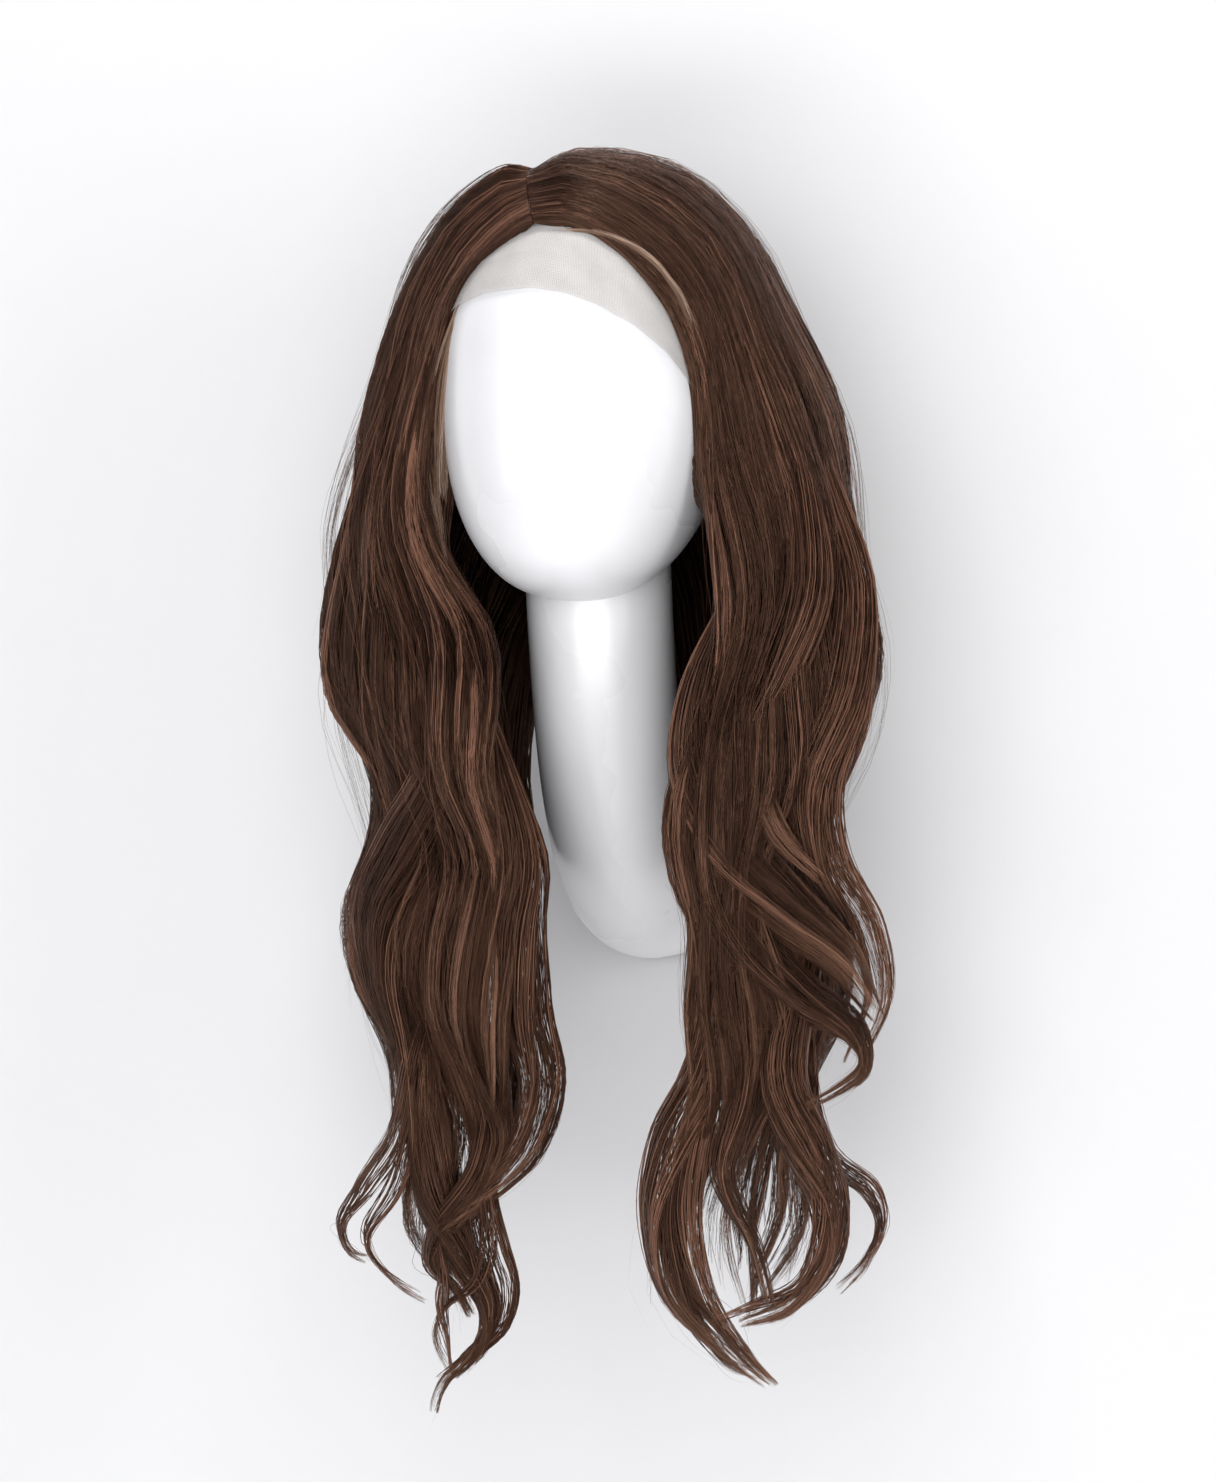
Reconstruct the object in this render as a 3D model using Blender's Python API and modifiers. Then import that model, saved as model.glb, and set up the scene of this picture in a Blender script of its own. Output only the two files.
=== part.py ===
"""Faceless display and training head on a wall-mounted swan neck, wearing a long lace-front wig.

Metres, +Z up. The origin is on the wall, at the centre of the neck's end. The face looks along -Y,
and +X is on the right of someone who looks at the face.
Run with: blender --background --python part.py
"""

import math

import bmesh
import bpy
from mathutils import Vector

# Driving dimensions of the head
CROWN_Z = 0.388
WIDEST_Z = 0.280
CHIN_Z = 0.156
HEAD_HALF_WIDTH = 0.077
HEAD_HALF_DEPTH = 0.0945
CRANIUM_Y = -0.155
CHIN_FORWARD = 0.030
JAW_POWER = 2.2
JAW_ROOT = 1 / 2.4
SHELL_WALL = 0.003
GAP = 0.0003

# Driving dimensions of the neck, whose centreline is a cubic curve in the YZ plane
NECK_RADIUS = 0.039
NECK_POLES = ((-0.1475, 0.205), (-0.131, 0.088), (-0.106, -0.001), (-0.022, 0.0))
NECK_END_Y = -0.004
NECK_STEPS = 11

# Driving dimensions of the hanger behind the neck
LIFT_TRAVEL = 0.010
PLATE_RADIUS = 0.025
PLATE_RISE = 0.005
PLATE_THICKNESS = 0.002
STUD_X = 0.010
STUD_Z = 0.006
STUD_SHANK = 0.0025
STUD_HEAD = 0.0045

# Driving dimensions of the wig
CAP_INNER, CAP_OUTER = 0.0014, 0.0024
TRACK_OFFSET, TRACK_RADIUS = 0.0033, 0.0005
HAIR_INNER = 0.0048
PART_X = -0.009
HAIR_TOP_Z = 0.3975
HAIR_WIDEST_Z = 0.157
HAIR_HALF_WIDTH = 0.152
HAIR_HALF_DEPTH = 0.110
HAIR_CENTRE_Y = -0.152
CROWN_HAIR_FOOT_Z = 0.190

HEAD_SEGMENTS, HEAD_RINGS = 32, 24
LOCK_SIDES = 12
FAR = 0.6

MATERIALS = {
    "gloss_white": ("#f4f4f5", 0.12, 0.0),
    "birch_ply": ("#c9a878", 0.60, 0.0),
    "zinc_steel": ("#b9bcc0", 0.35, 1.0),
    "black_foam": ("#26262a", 0.90, 0.0),
    "sheer_lace": ("#e9e2da", 0.80, 0.0),
    "cap_net": ("#3a2a23", 0.85, 0.0),
    "elastic": ("#2b2220", 0.80, 0.0),
    "comb_plastic": ("#5b3b2a", 0.30, 0.0),
    "brown_hair": ("#4a3227", 0.45, 0.0),
}


# Scene and helpers


def clear_scene():
    for obj in list(bpy.data.objects):
        bpy.data.objects.remove(obj)


def new_collection(name):
    collection = bpy.data.collections.new(name)
    bpy.context.scene.collection.children.link(collection)
    return collection


def linear(hex_colour):
    channels = [int(hex_colour[i : i + 2], 16) / 255 for i in (1, 3, 5)]
    return [c / 12.92 if c <= 0.04045 else ((c + 0.055) / 1.055) ** 2.4 for c in channels] + [1.0]


def make_materials():
    made = {}
    for name, (colour, roughness, metallic) in MATERIALS.items():
        material = bpy.data.materials.new(name)
        material.use_nodes = True
        shader = material.node_tree.nodes["Principled BSDF"]
        shader.inputs["Base Color"].default_value = linear(colour)
        shader.inputs["Roughness"].default_value = roughness
        shader.inputs["Metallic"].default_value = metallic
        made[name] = material
    return made


def mesh_object(name, bm, collection, material=None):
    """Ends a bmesh as an object, with its faces pointing outwards."""
    bm.normal_update()
    bmesh.ops.recalc_face_normals(bm, faces=bm.faces)
    mesh = bpy.data.meshes.new(name)
    bm.to_mesh(mesh)
    bm.free()
    obj = bpy.data.objects.new(name, mesh)
    collection.objects.link(obj)
    if material:
        obj.data.materials.append(SHADES[material])
        obj.data.shade_smooth()
        obj.data.set_sharp_from_angle(angle=math.radians(35))
    else:
        obj.hide_render = True
        obj.display_type = "WIRE"
    return obj


def boolean(obj, other, operation):
    modifier = obj.modifiers.new(operation.title(), "BOOLEAN")
    modifier.operation = operation
    modifier.object = other
    return obj


def settled(name, source, material):
    """A part whose mesh is the evaluated mesh of a helper."""
    graph = bpy.context.evaluated_depsgraph_get()
    graph.update()
    mesh = bpy.data.meshes.new_from_object(source.evaluated_get(graph))
    mesh.transform(source.matrix_world)
    bm = bmesh.new()
    bm.from_mesh(mesh)
    bmesh.ops.remove_doubles(bm, verts=bm.verts, dist=1e-6)
    bpy.data.meshes.remove(mesh)
    return mesh_object(name, bm, PARTS if material else HELPERS, material)


def prism(name, outline, axis, reach=FAR):
    """A helper with a flat outline, extruded both ways along X (outline in YZ) or Y (outline in XZ)."""
    bm = bmesh.new()
    ends = []
    for side in (-reach, reach):
        if axis == "X":
            ends.append([bm.verts.new((side, a, b)) for a, b in outline])
        else:
            ends.append([bm.verts.new((a, side, b)) for a, b in outline])
    bm.faces.new(ends[0])
    bm.faces.new(list(reversed(ends[1])))
    for i in range(len(outline)):
        j = (i + 1) % len(outline)
        bm.faces.new((ends[0][i], ends[1][i], ends[1][j], ends[0][j]))
    return mesh_object(name, bm, HELPERS)


def block(name, low, high, material=None):
    """A box between two corners."""
    low, high = Vector(low), Vector(high)
    bm = bmesh.new()
    bmesh.ops.create_cube(bm, size=1.0)
    bmesh.ops.scale(bm, vec=high - low, verts=bm.verts)
    bmesh.ops.translate(bm, vec=(low + high) / 2, verts=bm.verts)
    return mesh_object(name, bm, PARTS if material else HELPERS, material)


def disc(name, radius, y_wall, y_front, centre=(0.0, 0.0), material=None, sides=32):
    """A round plate or rod whose axis is Y. centre is (x, z)."""
    bm = bmesh.new()
    bmesh.ops.create_cone(
        bm, cap_ends=True, segments=sides, radius1=radius, radius2=radius, depth=y_wall - y_front
    )
    turn_to_y = [v.co.copy() for v in bm.verts]
    for vert, old in zip(bm.verts, turn_to_y):
        vert.co = (old.x + centre[0], old.z + (y_wall + y_front) / 2, old.y + centre[1])
    return mesh_object(name, bm, PARTS if material else HELPERS, material)


def wire(name, points, radius, material, sides_resolution=1):
    """A round rod along points, as a curve with filled caps."""
    curve = bpy.data.curves.new(name, "CURVE")
    curve.dimensions = "3D"
    curve.bevel_depth = radius
    curve.bevel_resolution = sides_resolution
    curve.use_fill_caps = True
    spline = curve.splines.new("POLY")
    spline.points.add(len(points) - 1)
    for place, point in zip(points, spline.points):
        point.co = (*place, 1.0)
    obj = bpy.data.objects.new(name, curve)
    (PARTS if material else HELPERS).objects.link(obj)
    if material:
        curve.materials.append(SHADES[material])
    else:
        obj.hide_render = True
        obj.display_type = "WIRE"
    return obj


# Forms that many parts share


def on_head(direction, grow):
    """The point of the head form, grown outwards, that a point of the unit sphere stands for."""
    around = math.hypot(direction.x, direction.y)
    width = HEAD_HALF_WIDTH + grow
    depth = HEAD_HALF_DEPTH + grow
    if direction.z >= 0 or around < 1e-6:
        rise = CROWN_Z - WIDEST_Z + grow if direction.z >= 0 else WIDEST_Z - CHIN_Z + grow
        centre = CRANIUM_Y - (0 if direction.z >= 0 else CHIN_FORWARD)
        return Vector((direction.x * width, centre + direction.y * depth, WIDEST_Z + direction.z * rise))
    drop = -direction.z
    full_jaw = (1 - drop**JAW_POWER) ** JAW_ROOT / around
    backward = max(0.0, direction.y / around)
    swell = full_jaw + (1 - full_jaw) * backward**1.5
    centre = CRANIUM_Y - CHIN_FORWARD * drop**1.2
    return Vector(
        (
            direction.x * swell * width,
            centre + direction.y * swell * depth,
            WIDEST_Z - drop * (WIDEST_Z - CHIN_Z + grow),
        )
    )


def on_hair(direction):
    """The outer form of the combed hair that a point of the unit sphere stands for."""
    around = max(math.hypot(direction.x, direction.y), 1e-6)
    fuller = around**-0.5
    return Vector(
        (
            direction.x * HAIR_HALF_WIDTH,
            HAIR_CENTRE_Y + direction.y * fuller * HAIR_HALF_DEPTH,
            HAIR_WIDEST_Z + direction.z * (HAIR_TOP_Z - HAIR_WIDEST_Z),
        )
    )


def ball_form(name, place):
    """A closed form: a sphere whose points place() moves."""
    bm = bmesh.new()
    bmesh.ops.create_uvsphere(bm, u_segments=HEAD_SEGMENTS, v_segments=HEAD_RINGS, radius=1.0)
    for vert in bm.verts:
        vert.co = place(vert.co.copy())
    return mesh_object(name, bm, HELPERS)


def head_form(grow):
    return ball_form(f"head_form_{grow * 1e4:.0f}", lambda direction: on_head(direction, grow))


def head_skin(name, inner, outer, limits, material):
    """A skin that follows the head between two distances from it, kept inside the limit prisms."""
    skin = head_form(outer)
    boolean(skin, head_form(inner), "DIFFERENCE")
    for limit in limits:
        boolean(skin, limit, "INTERSECT")
    return settled(name, skin, material)


def head_surface_point(around_degrees, z, grow):
    """A point at height z on the grown head; 0 degrees is +X and 90 degrees the back of the head."""
    above = z >= WIDEST_Z
    rise = (CROWN_Z - WIDEST_Z if above else WIDEST_Z - CHIN_Z) + grow
    up = (z - WIDEST_Z) / rise
    level = math.sqrt(1 - up * up)
    angle = math.radians(around_degrees)
    return on_head(Vector((level * math.cos(angle), level * math.sin(angle), up)), grow)


def neck_centre(t):
    """The neck's centreline: t runs from 0, inside the head, to 1, near the wall."""
    a, b, c, d = (Vector((0.0, y, z)) for y, z in NECK_POLES)
    s = 1 - t
    return s**3 * a + 3 * s * s * t * b + 3 * s * t * t * c + t**3 * d


def neck_route(end_y):
    route = [neck_centre(i / NECK_STEPS) for i in range(NECK_STEPS + 1)]
    return route + [Vector((0.0, end_y, 0.0))]


def neck_form(name, radius, end_y):
    tube = wire(name + "_line", neck_route(end_y), radius, None, sides_resolution=10)
    form = settled(name, tube, None)
    bpy.data.objects.remove(tube)
    return form


def seam_side(name, shift):
    """Everything in front of, and below, the seam between the two mouldings, moved by shift."""
    seam = [(CRANIUM_Y - 0.003, FAR), (CRANIUM_Y - 0.003, WIDEST_Z)]
    seam += [(p.y, p.z) for p in neck_route(FAR)]
    moved = [(y + shift, z + shift) for y, z in seam]
    return prism(name, moved + [(FAR, -FAR), (-FAR, -FAR), (-FAR, FAR)], "X")


# The mannequin


def build_head_shells():
    whole = head_form(0.0)
    boolean(whole, neck_form("neck_outside", NECK_RADIUS, NECK_END_Y), "UNION")
    boolean(whole, head_form(-SHELL_WALL), "DIFFERENCE")
    boolean(whole, neck_form("neck_inside", NECK_RADIUS - SHELL_WALL, 0.02), "DIFFERENCE")
    moulding = settled("moulding", whole, None)
    face = boolean(settled("face_half", moulding, None), seam_side("before_seam", 0.0), "INTERSECT")
    rear = boolean(settled("rear_half", moulding, None), seam_side("seam_gap", GAP), "DIFFERENCE")
    settled("face_shell", face, "gloss_white")
    settled("rear_shell", rear, "gloss_white")


def build_neck_plug():
    """The plywood ring in the neck's end that the keyhole plate is screwed to."""
    ring = disc("plug_blank", NECK_RADIUS - SHELL_WALL - 0.0008, -0.0063, -0.0183)
    boolean(ring, disc("plug_window", 0.0220, 0.0, -0.03), "DIFFERENCE")
    for i, (x, z) in enumerate(plate_screw_places()):
        boolean(ring, disc(f"pilot_{i}", 0.0013, 0.0, -0.0160, (x, z), sides=12), "DIFFERENCE")
    settled("neck_plug", ring, "birch_ply")


def plate_screw_places():
    spread = 0.0285
    return [
        (spread * math.cos(math.radians(a)), spread * math.sin(math.radians(a)))
        for a in (45, 135, 225, 315)
    ]


def build_keyhole_plate():
    """The steel plate behind the neck. It hangs by two keyholes, each a slot with its wide hole below."""
    plate = disc("plate_blank", 0.0335, -0.0042, -0.0060)
    for side in (-1, 1):
        x = side * STUD_X
        slot_half = STUD_SHANK + 0.0004
        wide = STUD_HEAD + 0.0006
        foot = STUD_Z - LIFT_TRAVEL
        boolean(plate, disc(f"slot_top_{side}", slot_half, 0, -0.02, (x, STUD_Z), sides=20), "DIFFERENCE")
        slot = block(f"slot_{side}", (x - slot_half, -0.02, foot), (x + slot_half, 0, STUD_Z))
        boolean(plate, slot, "DIFFERENCE")
        boolean(plate, disc(f"entry_{side}", wide, 0, -0.02, (x, foot), sides=20), "DIFFERENCE")
    for i, place in enumerate(plate_screw_places()):
        boolean(plate, disc(f"plate_hole_{i}", 0.0020, 0, -0.02, place, sides=16), "DIFFERENCE")
    settled("keyhole_plate", plate, "zinc_steel")


def turned(name, profile, centre, material, sides=20):
    """A turned piece on a Y axis through centre (x, z). profile is (radius, y) from its front to the wall."""
    bm = bmesh.new()
    verts = [bm.verts.new((radius, 0.0, y)) for radius, y in profile]
    for a, b in zip(verts, verts[1:]):
        bm.edges.new((a, b))
    mesh = bpy.data.meshes.new(name)
    bm.to_mesh(mesh)
    bm.free()
    blank = bpy.data.objects.new(name + "_profile", mesh)
    HELPERS.objects.link(blank)
    blank.hide_render = True
    screw = blank.modifiers.new("Screw", "SCREW")
    screw.steps = sides
    screw.render_steps = sides
    screw.use_merge_vertices = True
    screw.merge_threshold = 0.00005
    blank.rotation_euler = (-math.pi / 2, 0, 0)
    blank.location = (centre[0], 0, centre[1])
    bpy.context.view_layer.update()
    return settled(name, blank, material)


def build_plate_screws():
    """Countersunk screws that hold the keyhole plate on the plug, with their heads in the plate."""
    profile = ((0, -0.0150), (0.0010, -0.0140), (0.0010, -0.0050), (0.0016, -0.0047), (0.0016, -0.0041))
    profile += ((0.0034, -0.0037), (0.0034, -0.0032), (0.0028, -0.0028), (0, -0.0028))
    for i, place in enumerate(plate_screw_places()):
        turned(f"plate_screw_{i + 1}", profile, place, "zinc_steel", sides=12)


def build_wall_plate():
    plate = disc("wall_plate_blank", PLATE_RADIUS, 0.0, -PLATE_THICKNESS, (0, PLATE_RISE))
    for side in (-1, 1):
        hole = disc(f"wall_hole_{side}", 0.0022, 0.01, -0.01, (0, PLATE_RISE + side * 0.018), sides=16)
        boolean(plate, hole, "DIFFERENCE")
        rivet = disc(f"rivet_hole_{side}", 0.0021, 0.01, -0.01, (side * STUD_X, STUD_Z), sides=16)
        boolean(plate, rivet, "DIFFERENCE")
    settled("wall_plate", plate, "zinc_steel")


def build_hook_studs():
    """Shouldered studs riveted in the wall plate. Their heads hold the keyhole plate."""
    shoulder = -PLATE_THICKNESS - GAP
    back_of_head = -0.0064
    profile = (
        (0, back_of_head - 0.0018),
        (STUD_HEAD - 0.0005, back_of_head - 0.0018),
        (STUD_HEAD, back_of_head - 0.0013),
        (STUD_HEAD, back_of_head),
        (STUD_SHANK, back_of_head),
        (STUD_SHANK, shoulder),
        (0.0018, shoulder),
        (0.0018, -0.0002),
        (0, -0.0002),
    )
    for name, side in (("left", -1), ("right", 1)):
        turned(f"hook_stud_{name}", profile, (side * STUD_X, STUD_Z), "zinc_steel")


def build_wall_pad():
    """The foam ring glued on the neck's end, which keeps it off the wall."""
    ring = disc("pad_blank", NECK_RADIUS - 0.0003, -GAP, NECK_END_Y + GAP)
    boolean(ring, disc("pad_window", 0.0362, 0.01, -0.02), "DIFFERENCE")
    settled("wall_pad", ring, "black_foam")


# The wig's cap


def cap_limits():
    """Side views of where the net lies: from the hairline over the ears to the nape."""
    hairline = [(-0.226, 0.352), (-0.212, 0.318), (-0.197, 0.262), (-0.168, 0.258)]
    nape = [(-0.135, 0.238), (-0.100, 0.222)]
    return prism("net_area", hairline + nape + [(FAR, 0.222), (FAR, FAR), (-0.226, FAR)], "X")


def build_cap():
    head_skin("crown_net", CAP_INNER, CAP_OUTER, [cap_limits()], "cap_net")
    for side, name in ((-1, "left"), (1, "right")):
        outline = [(-0.1962, 0.2615), (-0.1700, 0.2572), (-0.1760, 0.2360), (-0.1900, 0.2360)]
        tab = prism(f"tab_area_{name}", outline, "X")
        one_side = block(f"tab_side_{name}", (min(0, side), -1, -1), (max(0, side), 1, 1))
        head_skin(f"ear_tab_{name}", CAP_INNER, CAP_OUTER, [tab, one_side], "elastic")


def build_lace():
    """The sheer panel over the forehead, with its untrimmed edge lower on one temple."""
    edge = [(-0.085, 0.298), (-0.055, 0.309), (-0.003, 0.314), (0.030, 0.298), (0.058, 0.282), (0.066, 0.240)]
    front = prism("lace_front_view", [(-0.2, 0.300)] + edge + [(0.2, 0.240), (0.2, FAR), (-0.2, FAR)], "Y")
    net_front = [(-0.2263, FAR), (-0.2263, 0.352), (-0.2123, 0.318), (-0.1973, 0.262), (-0.1973, 0.2)]
    side = prism("lace_side_view", net_front + [(-FAR, 0.2), (-FAR, FAR)], "X")
    head_skin("lace_front", 0.0005, 0.0011, [front, side], "sheer_lace")


def build_nape_band():
    """Elastic that closes the cap below the net, and the two straps that tighten it."""
    height, thickness = 0.0070, 0.0012
    for name, (first, last), z in (
        ("nape_band", (38, 142), 0.2135),
        ("strap_left", (150, 176), 0.2160),
        ("strap_right", (4, 30), 0.2160),
    ):
        bm = bmesh.new()
        rings = []
        steps = 14 if name == "nape_band" else 5
        for i in range(steps + 1):
            angle = first + (last - first) * i / steps
            corners = []
            for grow, up in ((0.001, -1), (0.001 + thickness, -1), (0.001 + thickness, 1), (0.001, 1)):
                corners.append(bm.verts.new(head_surface_point(angle, z + up * height / 2, grow)))
            rings.append(corners)
        for a, b in zip(rings, rings[1:]):
            for k in range(4):
                bm.faces.new((a[k], a[(k + 1) % 4], b[(k + 1) % 4], b[k]))
        bm.faces.new(rings[0])
        bm.faces.new(list(reversed(rings[-1])))
        mesh_object(name, bm, PARTS, "elastic")


def build_weft_tracks():
    """Stitched rows round the back of the net that carry the machine-sewn hair."""
    for i, z in enumerate((0.240, 0.262, 0.284, 0.306, 0.328)):
        route = [head_surface_point(25 + 130 * k / 18, z, TRACK_OFFSET) for k in range(19)]
        wire(f"weft_track_{i + 1}", route, TRACK_RADIUS, "cap_net", sides_resolution=0)


def build_combs():
    """Small combs sewn inside the net at the temples; their teeth lie against the head."""
    for name, middle in (("left", 205), ("right", 335)):
        bar = [head_surface_point(middle + a, 0.330, 0.0006) for a in (-7, 0, 7)]
        comb = wire(f"comb_bar_{name}", bar, 0.0003, None, sides_resolution=0)
        solid = settled(f"comb_blank_{name}", comb, None)
        bpy.data.objects.remove(comb)
        for k, a in enumerate((-6, -3, 0, 3, 6)):
            tooth = [head_surface_point(middle + a, 0.330 + dz, 0.0006) for dz in (0.0001, -0.006, -0.012)]
            line = wire(f"tooth_{name}_{k}", tooth, 0.0002, None, sides_resolution=0)
            boolean(solid, settled(f"tooth_form_{name}_{k}", line, None), "UNION")
            bpy.data.objects.remove(line)
        settled(f"temple_comb_{name}", solid, "comb_plastic")


# The wig's hair, as plain outer forms


def build_crown_hair():
    """The combed hair over the cap, parted in two, open in front of the face."""
    hairline = [(-0.232, 0.352), (-0.216, 0.318), (-0.203, 0.272), (-0.198, CROWN_HAIR_FOOT_Z)]
    rest = [(FAR, CROWN_HAIR_FOOT_Z), (FAR, FAR), (-0.232, FAR)]
    for name, low_x, high_x in (("left", -1, PART_X - GAP), ("right", PART_X + GAP, 1)):
        hair = ball_form(f"hair_form_{name}", on_hair)
        boolean(hair, head_form(HAIR_INNER), "DIFFERENCE")
        boolean(hair, prism(f"hair_area_{name}", hairline + rest, "X"), "INTERSECT")
        boolean(hair, block(f"hair_side_{name}", (low_x, -1, -1), (high_x, 1, 1)), "INTERSECT")
        settled(f"crown_hair_{name}", hair, "brown_hair")


# Each level of a lock is (z, inner x, outer x, front y, back y), with x measured away from the neck.
LOCKS = {
    "front_lock_left": (-1, (
        (0.1890, 0.063, 0.097, -0.206, -0.168), (0.131, 0.048, 0.093, -0.212, -0.166),
        (0.078, 0.045, 0.084, -0.214, -0.166), (0.025, 0.034, 0.077, -0.212, -0.160),
        (-0.028, 0.027, 0.077, -0.210, -0.156), (-0.081, 0.013, 0.057, -0.206, -0.150),
        (-0.112, 0.011, 0.052, -0.202, -0.150), (-0.147, 0.034, 0.060, -0.198, -0.156),
        (-0.187, 0.046, 0.064, -0.192, -0.160), (-0.218, 0.044, 0.060, -0.186, -0.164),
        (-0.250, 0.050, 0.062, -0.182, -0.170),
    )),
    "side_lock_left": (-1, (
        (0.1890, 0.098, 0.148, -0.192, -0.124), (0.131, 0.094, 0.1535, -0.196, -0.122),
        (0.078, 0.085, 0.1315, -0.194, -0.122), (0.025, 0.078, 0.126, -0.192, -0.126),
        (-0.028, 0.078, 0.1345, -0.190, -0.126), (-0.081, 0.058, 0.113, -0.188, -0.130),
        (-0.112, 0.053, 0.105, -0.186, -0.134), (-0.147, 0.061, 0.098, -0.182, -0.138),
        (-0.187, 0.065, 0.088, -0.176, -0.144), (-0.205, 0.067, 0.078, -0.170, -0.150),
    )),
    "back_lock_left": (-1, (
        (0.1890, 0.050, 0.096, -0.1630, -0.060), (0.131, 0.046, 0.092, -0.1610, -0.062),
        (0.078, 0.045, 0.083, -0.1600, -0.080), (0.025, 0.046, 0.076, -0.1550, -0.090),
        (-0.028, 0.044, 0.076, -0.1510, -0.098), (-0.090, 0.040, 0.052, -0.1450, -0.112),
    )),
    "front_lock_right": (1, (
        (0.1890, 0.066, 0.102, -0.206, -0.168), (0.131, 0.062, 0.104, -0.212, -0.166),
        (0.078, 0.050, 0.098, -0.214, -0.166), (0.025, 0.046, 0.094, -0.214, -0.160),
        (-0.028, 0.051, 0.100, -0.212, -0.156), (-0.081, 0.061, 0.096, -0.206, -0.152),
        (-0.112, 0.052, 0.086, -0.204, -0.150), (-0.147, 0.040, 0.076, -0.204, -0.152),
        (-0.187, 0.037, 0.070, -0.202, -0.156), (-0.222, 0.050, 0.086, -0.200, -0.160),
        (-0.246, 0.074, 0.092, -0.192, -0.168),
    )),
    "side_lock_right": (1, (
        (0.1890, 0.103, 0.145, -0.192, -0.124), (0.131, 0.105, 0.154, -0.196, -0.122),
        (0.078, 0.099, 0.1455, -0.194, -0.122), (0.025, 0.095, 0.1335, -0.192, -0.126),
        (-0.028, 0.101, 0.149, -0.190, -0.126), (-0.066, 0.100, 0.145, -0.188, -0.128),
        (-0.107, 0.089, 0.117, -0.186, -0.132), (-0.147, 0.079, 0.124, -0.182, -0.134),
        (-0.180, 0.082, 0.128, -0.178, -0.138), (-0.207, 0.091, 0.108, -0.172, -0.146),
    )),
    "back_lock_right": (1, (
        (0.1890, 0.050, 0.101, -0.1630, -0.060), (0.131, 0.046, 0.100, -0.1610, -0.062),
        (0.078, 0.045, 0.096, -0.1600, -0.080), (0.025, 0.046, 0.092, -0.1550, -0.090),
        (-0.028, 0.046, 0.096, -0.1510, -0.098), (-0.098, 0.058, 0.082, -0.1450, -0.112),
    )),
}

def build_lock(name, side, levels):
    """A lock of hair: a loft of rounded rectangles, one at each level."""
    bm = bmesh.new()
    rings = []
    for z, inner, outer, front, back in levels:
        ring = []
        for k in range(LOCK_SIDES):
            angle = 2 * math.pi * (k + 0.5) / LOCK_SIDES
            across = math.copysign(abs(math.cos(angle)) ** 0.7, math.cos(angle))
            along = math.copysign(abs(math.sin(angle)) ** 0.7, math.sin(angle))
            x = (inner + outer) / 2 + (outer - inner) / 2 * across
            y = (front + back) / 2 + (back - front) / 2 * along
            ring.append(bm.verts.new((side * x, y, z)))
        rings.append(ring)
    for upper, lower in zip(rings, rings[1:]):
        for k in range(LOCK_SIDES):
            j = (k + 1) % LOCK_SIDES
            bm.faces.new((upper[k], upper[j], lower[j], lower[k]))
    bm.faces.new(rings[0])
    bm.faces.new(list(reversed(rings[-1])))
    mesh_object(name, bm, PARTS, "brown_hair")


def build_hair():
    build_crown_hair()
    for name, (side, levels) in LOCKS.items():
        build_lock(name, side, levels)


clear_scene()
PARTS = new_collection("mannequin_head_with_wig")
HELPERS = new_collection("cutters")
SHADES = make_materials()
build_head_shells()
build_neck_plug()
build_keyhole_plate()
build_plate_screws()
build_wall_plate()
build_hook_studs()
build_wall_pad()
build_cap()
build_lace()
build_nape_band()
build_weft_tracks()
build_combs()
build_hair()
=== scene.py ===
# %% [markdown]
# # A faceless mannequin head on a wall, with a long wavy wig
#
# The head is a smooth gloss white moulding whose neck curves back to the wall. It wears a lace-front
# wig: a stretch cap that carries dark brown hair, parted off the middle, with its back hair drawn
# forward over both shoulders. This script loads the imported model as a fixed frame, and gives every
# piece of it the form and the finish of the real one.

# %% Load the frame
import math

import bmesh
import bpy
import numpy as np
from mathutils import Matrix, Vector


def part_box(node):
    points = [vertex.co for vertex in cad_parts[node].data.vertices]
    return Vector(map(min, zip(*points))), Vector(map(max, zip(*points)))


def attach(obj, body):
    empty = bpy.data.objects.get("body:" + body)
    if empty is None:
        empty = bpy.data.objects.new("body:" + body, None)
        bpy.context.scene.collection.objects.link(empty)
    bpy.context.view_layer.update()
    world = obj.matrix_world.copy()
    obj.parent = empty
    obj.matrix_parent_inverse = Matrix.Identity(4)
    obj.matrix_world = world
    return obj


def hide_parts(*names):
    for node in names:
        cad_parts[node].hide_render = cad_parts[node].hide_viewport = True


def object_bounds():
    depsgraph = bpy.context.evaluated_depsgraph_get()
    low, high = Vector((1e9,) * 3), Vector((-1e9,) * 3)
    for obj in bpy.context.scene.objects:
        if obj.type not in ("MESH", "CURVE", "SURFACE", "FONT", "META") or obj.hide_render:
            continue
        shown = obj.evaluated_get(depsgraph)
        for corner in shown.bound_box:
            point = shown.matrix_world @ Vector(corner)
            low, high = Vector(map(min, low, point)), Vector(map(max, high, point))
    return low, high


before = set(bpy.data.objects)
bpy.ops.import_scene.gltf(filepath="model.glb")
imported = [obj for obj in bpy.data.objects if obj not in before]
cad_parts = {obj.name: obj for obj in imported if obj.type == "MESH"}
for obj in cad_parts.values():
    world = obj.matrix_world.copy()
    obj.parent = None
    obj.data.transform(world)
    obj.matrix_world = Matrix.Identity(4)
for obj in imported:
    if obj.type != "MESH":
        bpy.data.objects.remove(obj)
cad_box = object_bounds()
print("CAD box", [tuple(round(c, 3) for c in corner) for corner in cad_box])

# %% [markdown]
# ## Sizes
#
# The head's own box gives its width and the top of its crown, and the plate behind the neck gives
# the wall. The other sizes repeat the form that the frame was made with: how high the head is
# widest, where its chin is, and the line of its neck. They are in metres. The hair is laid out in
# millimetres, because its points are easier to read that way.

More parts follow.
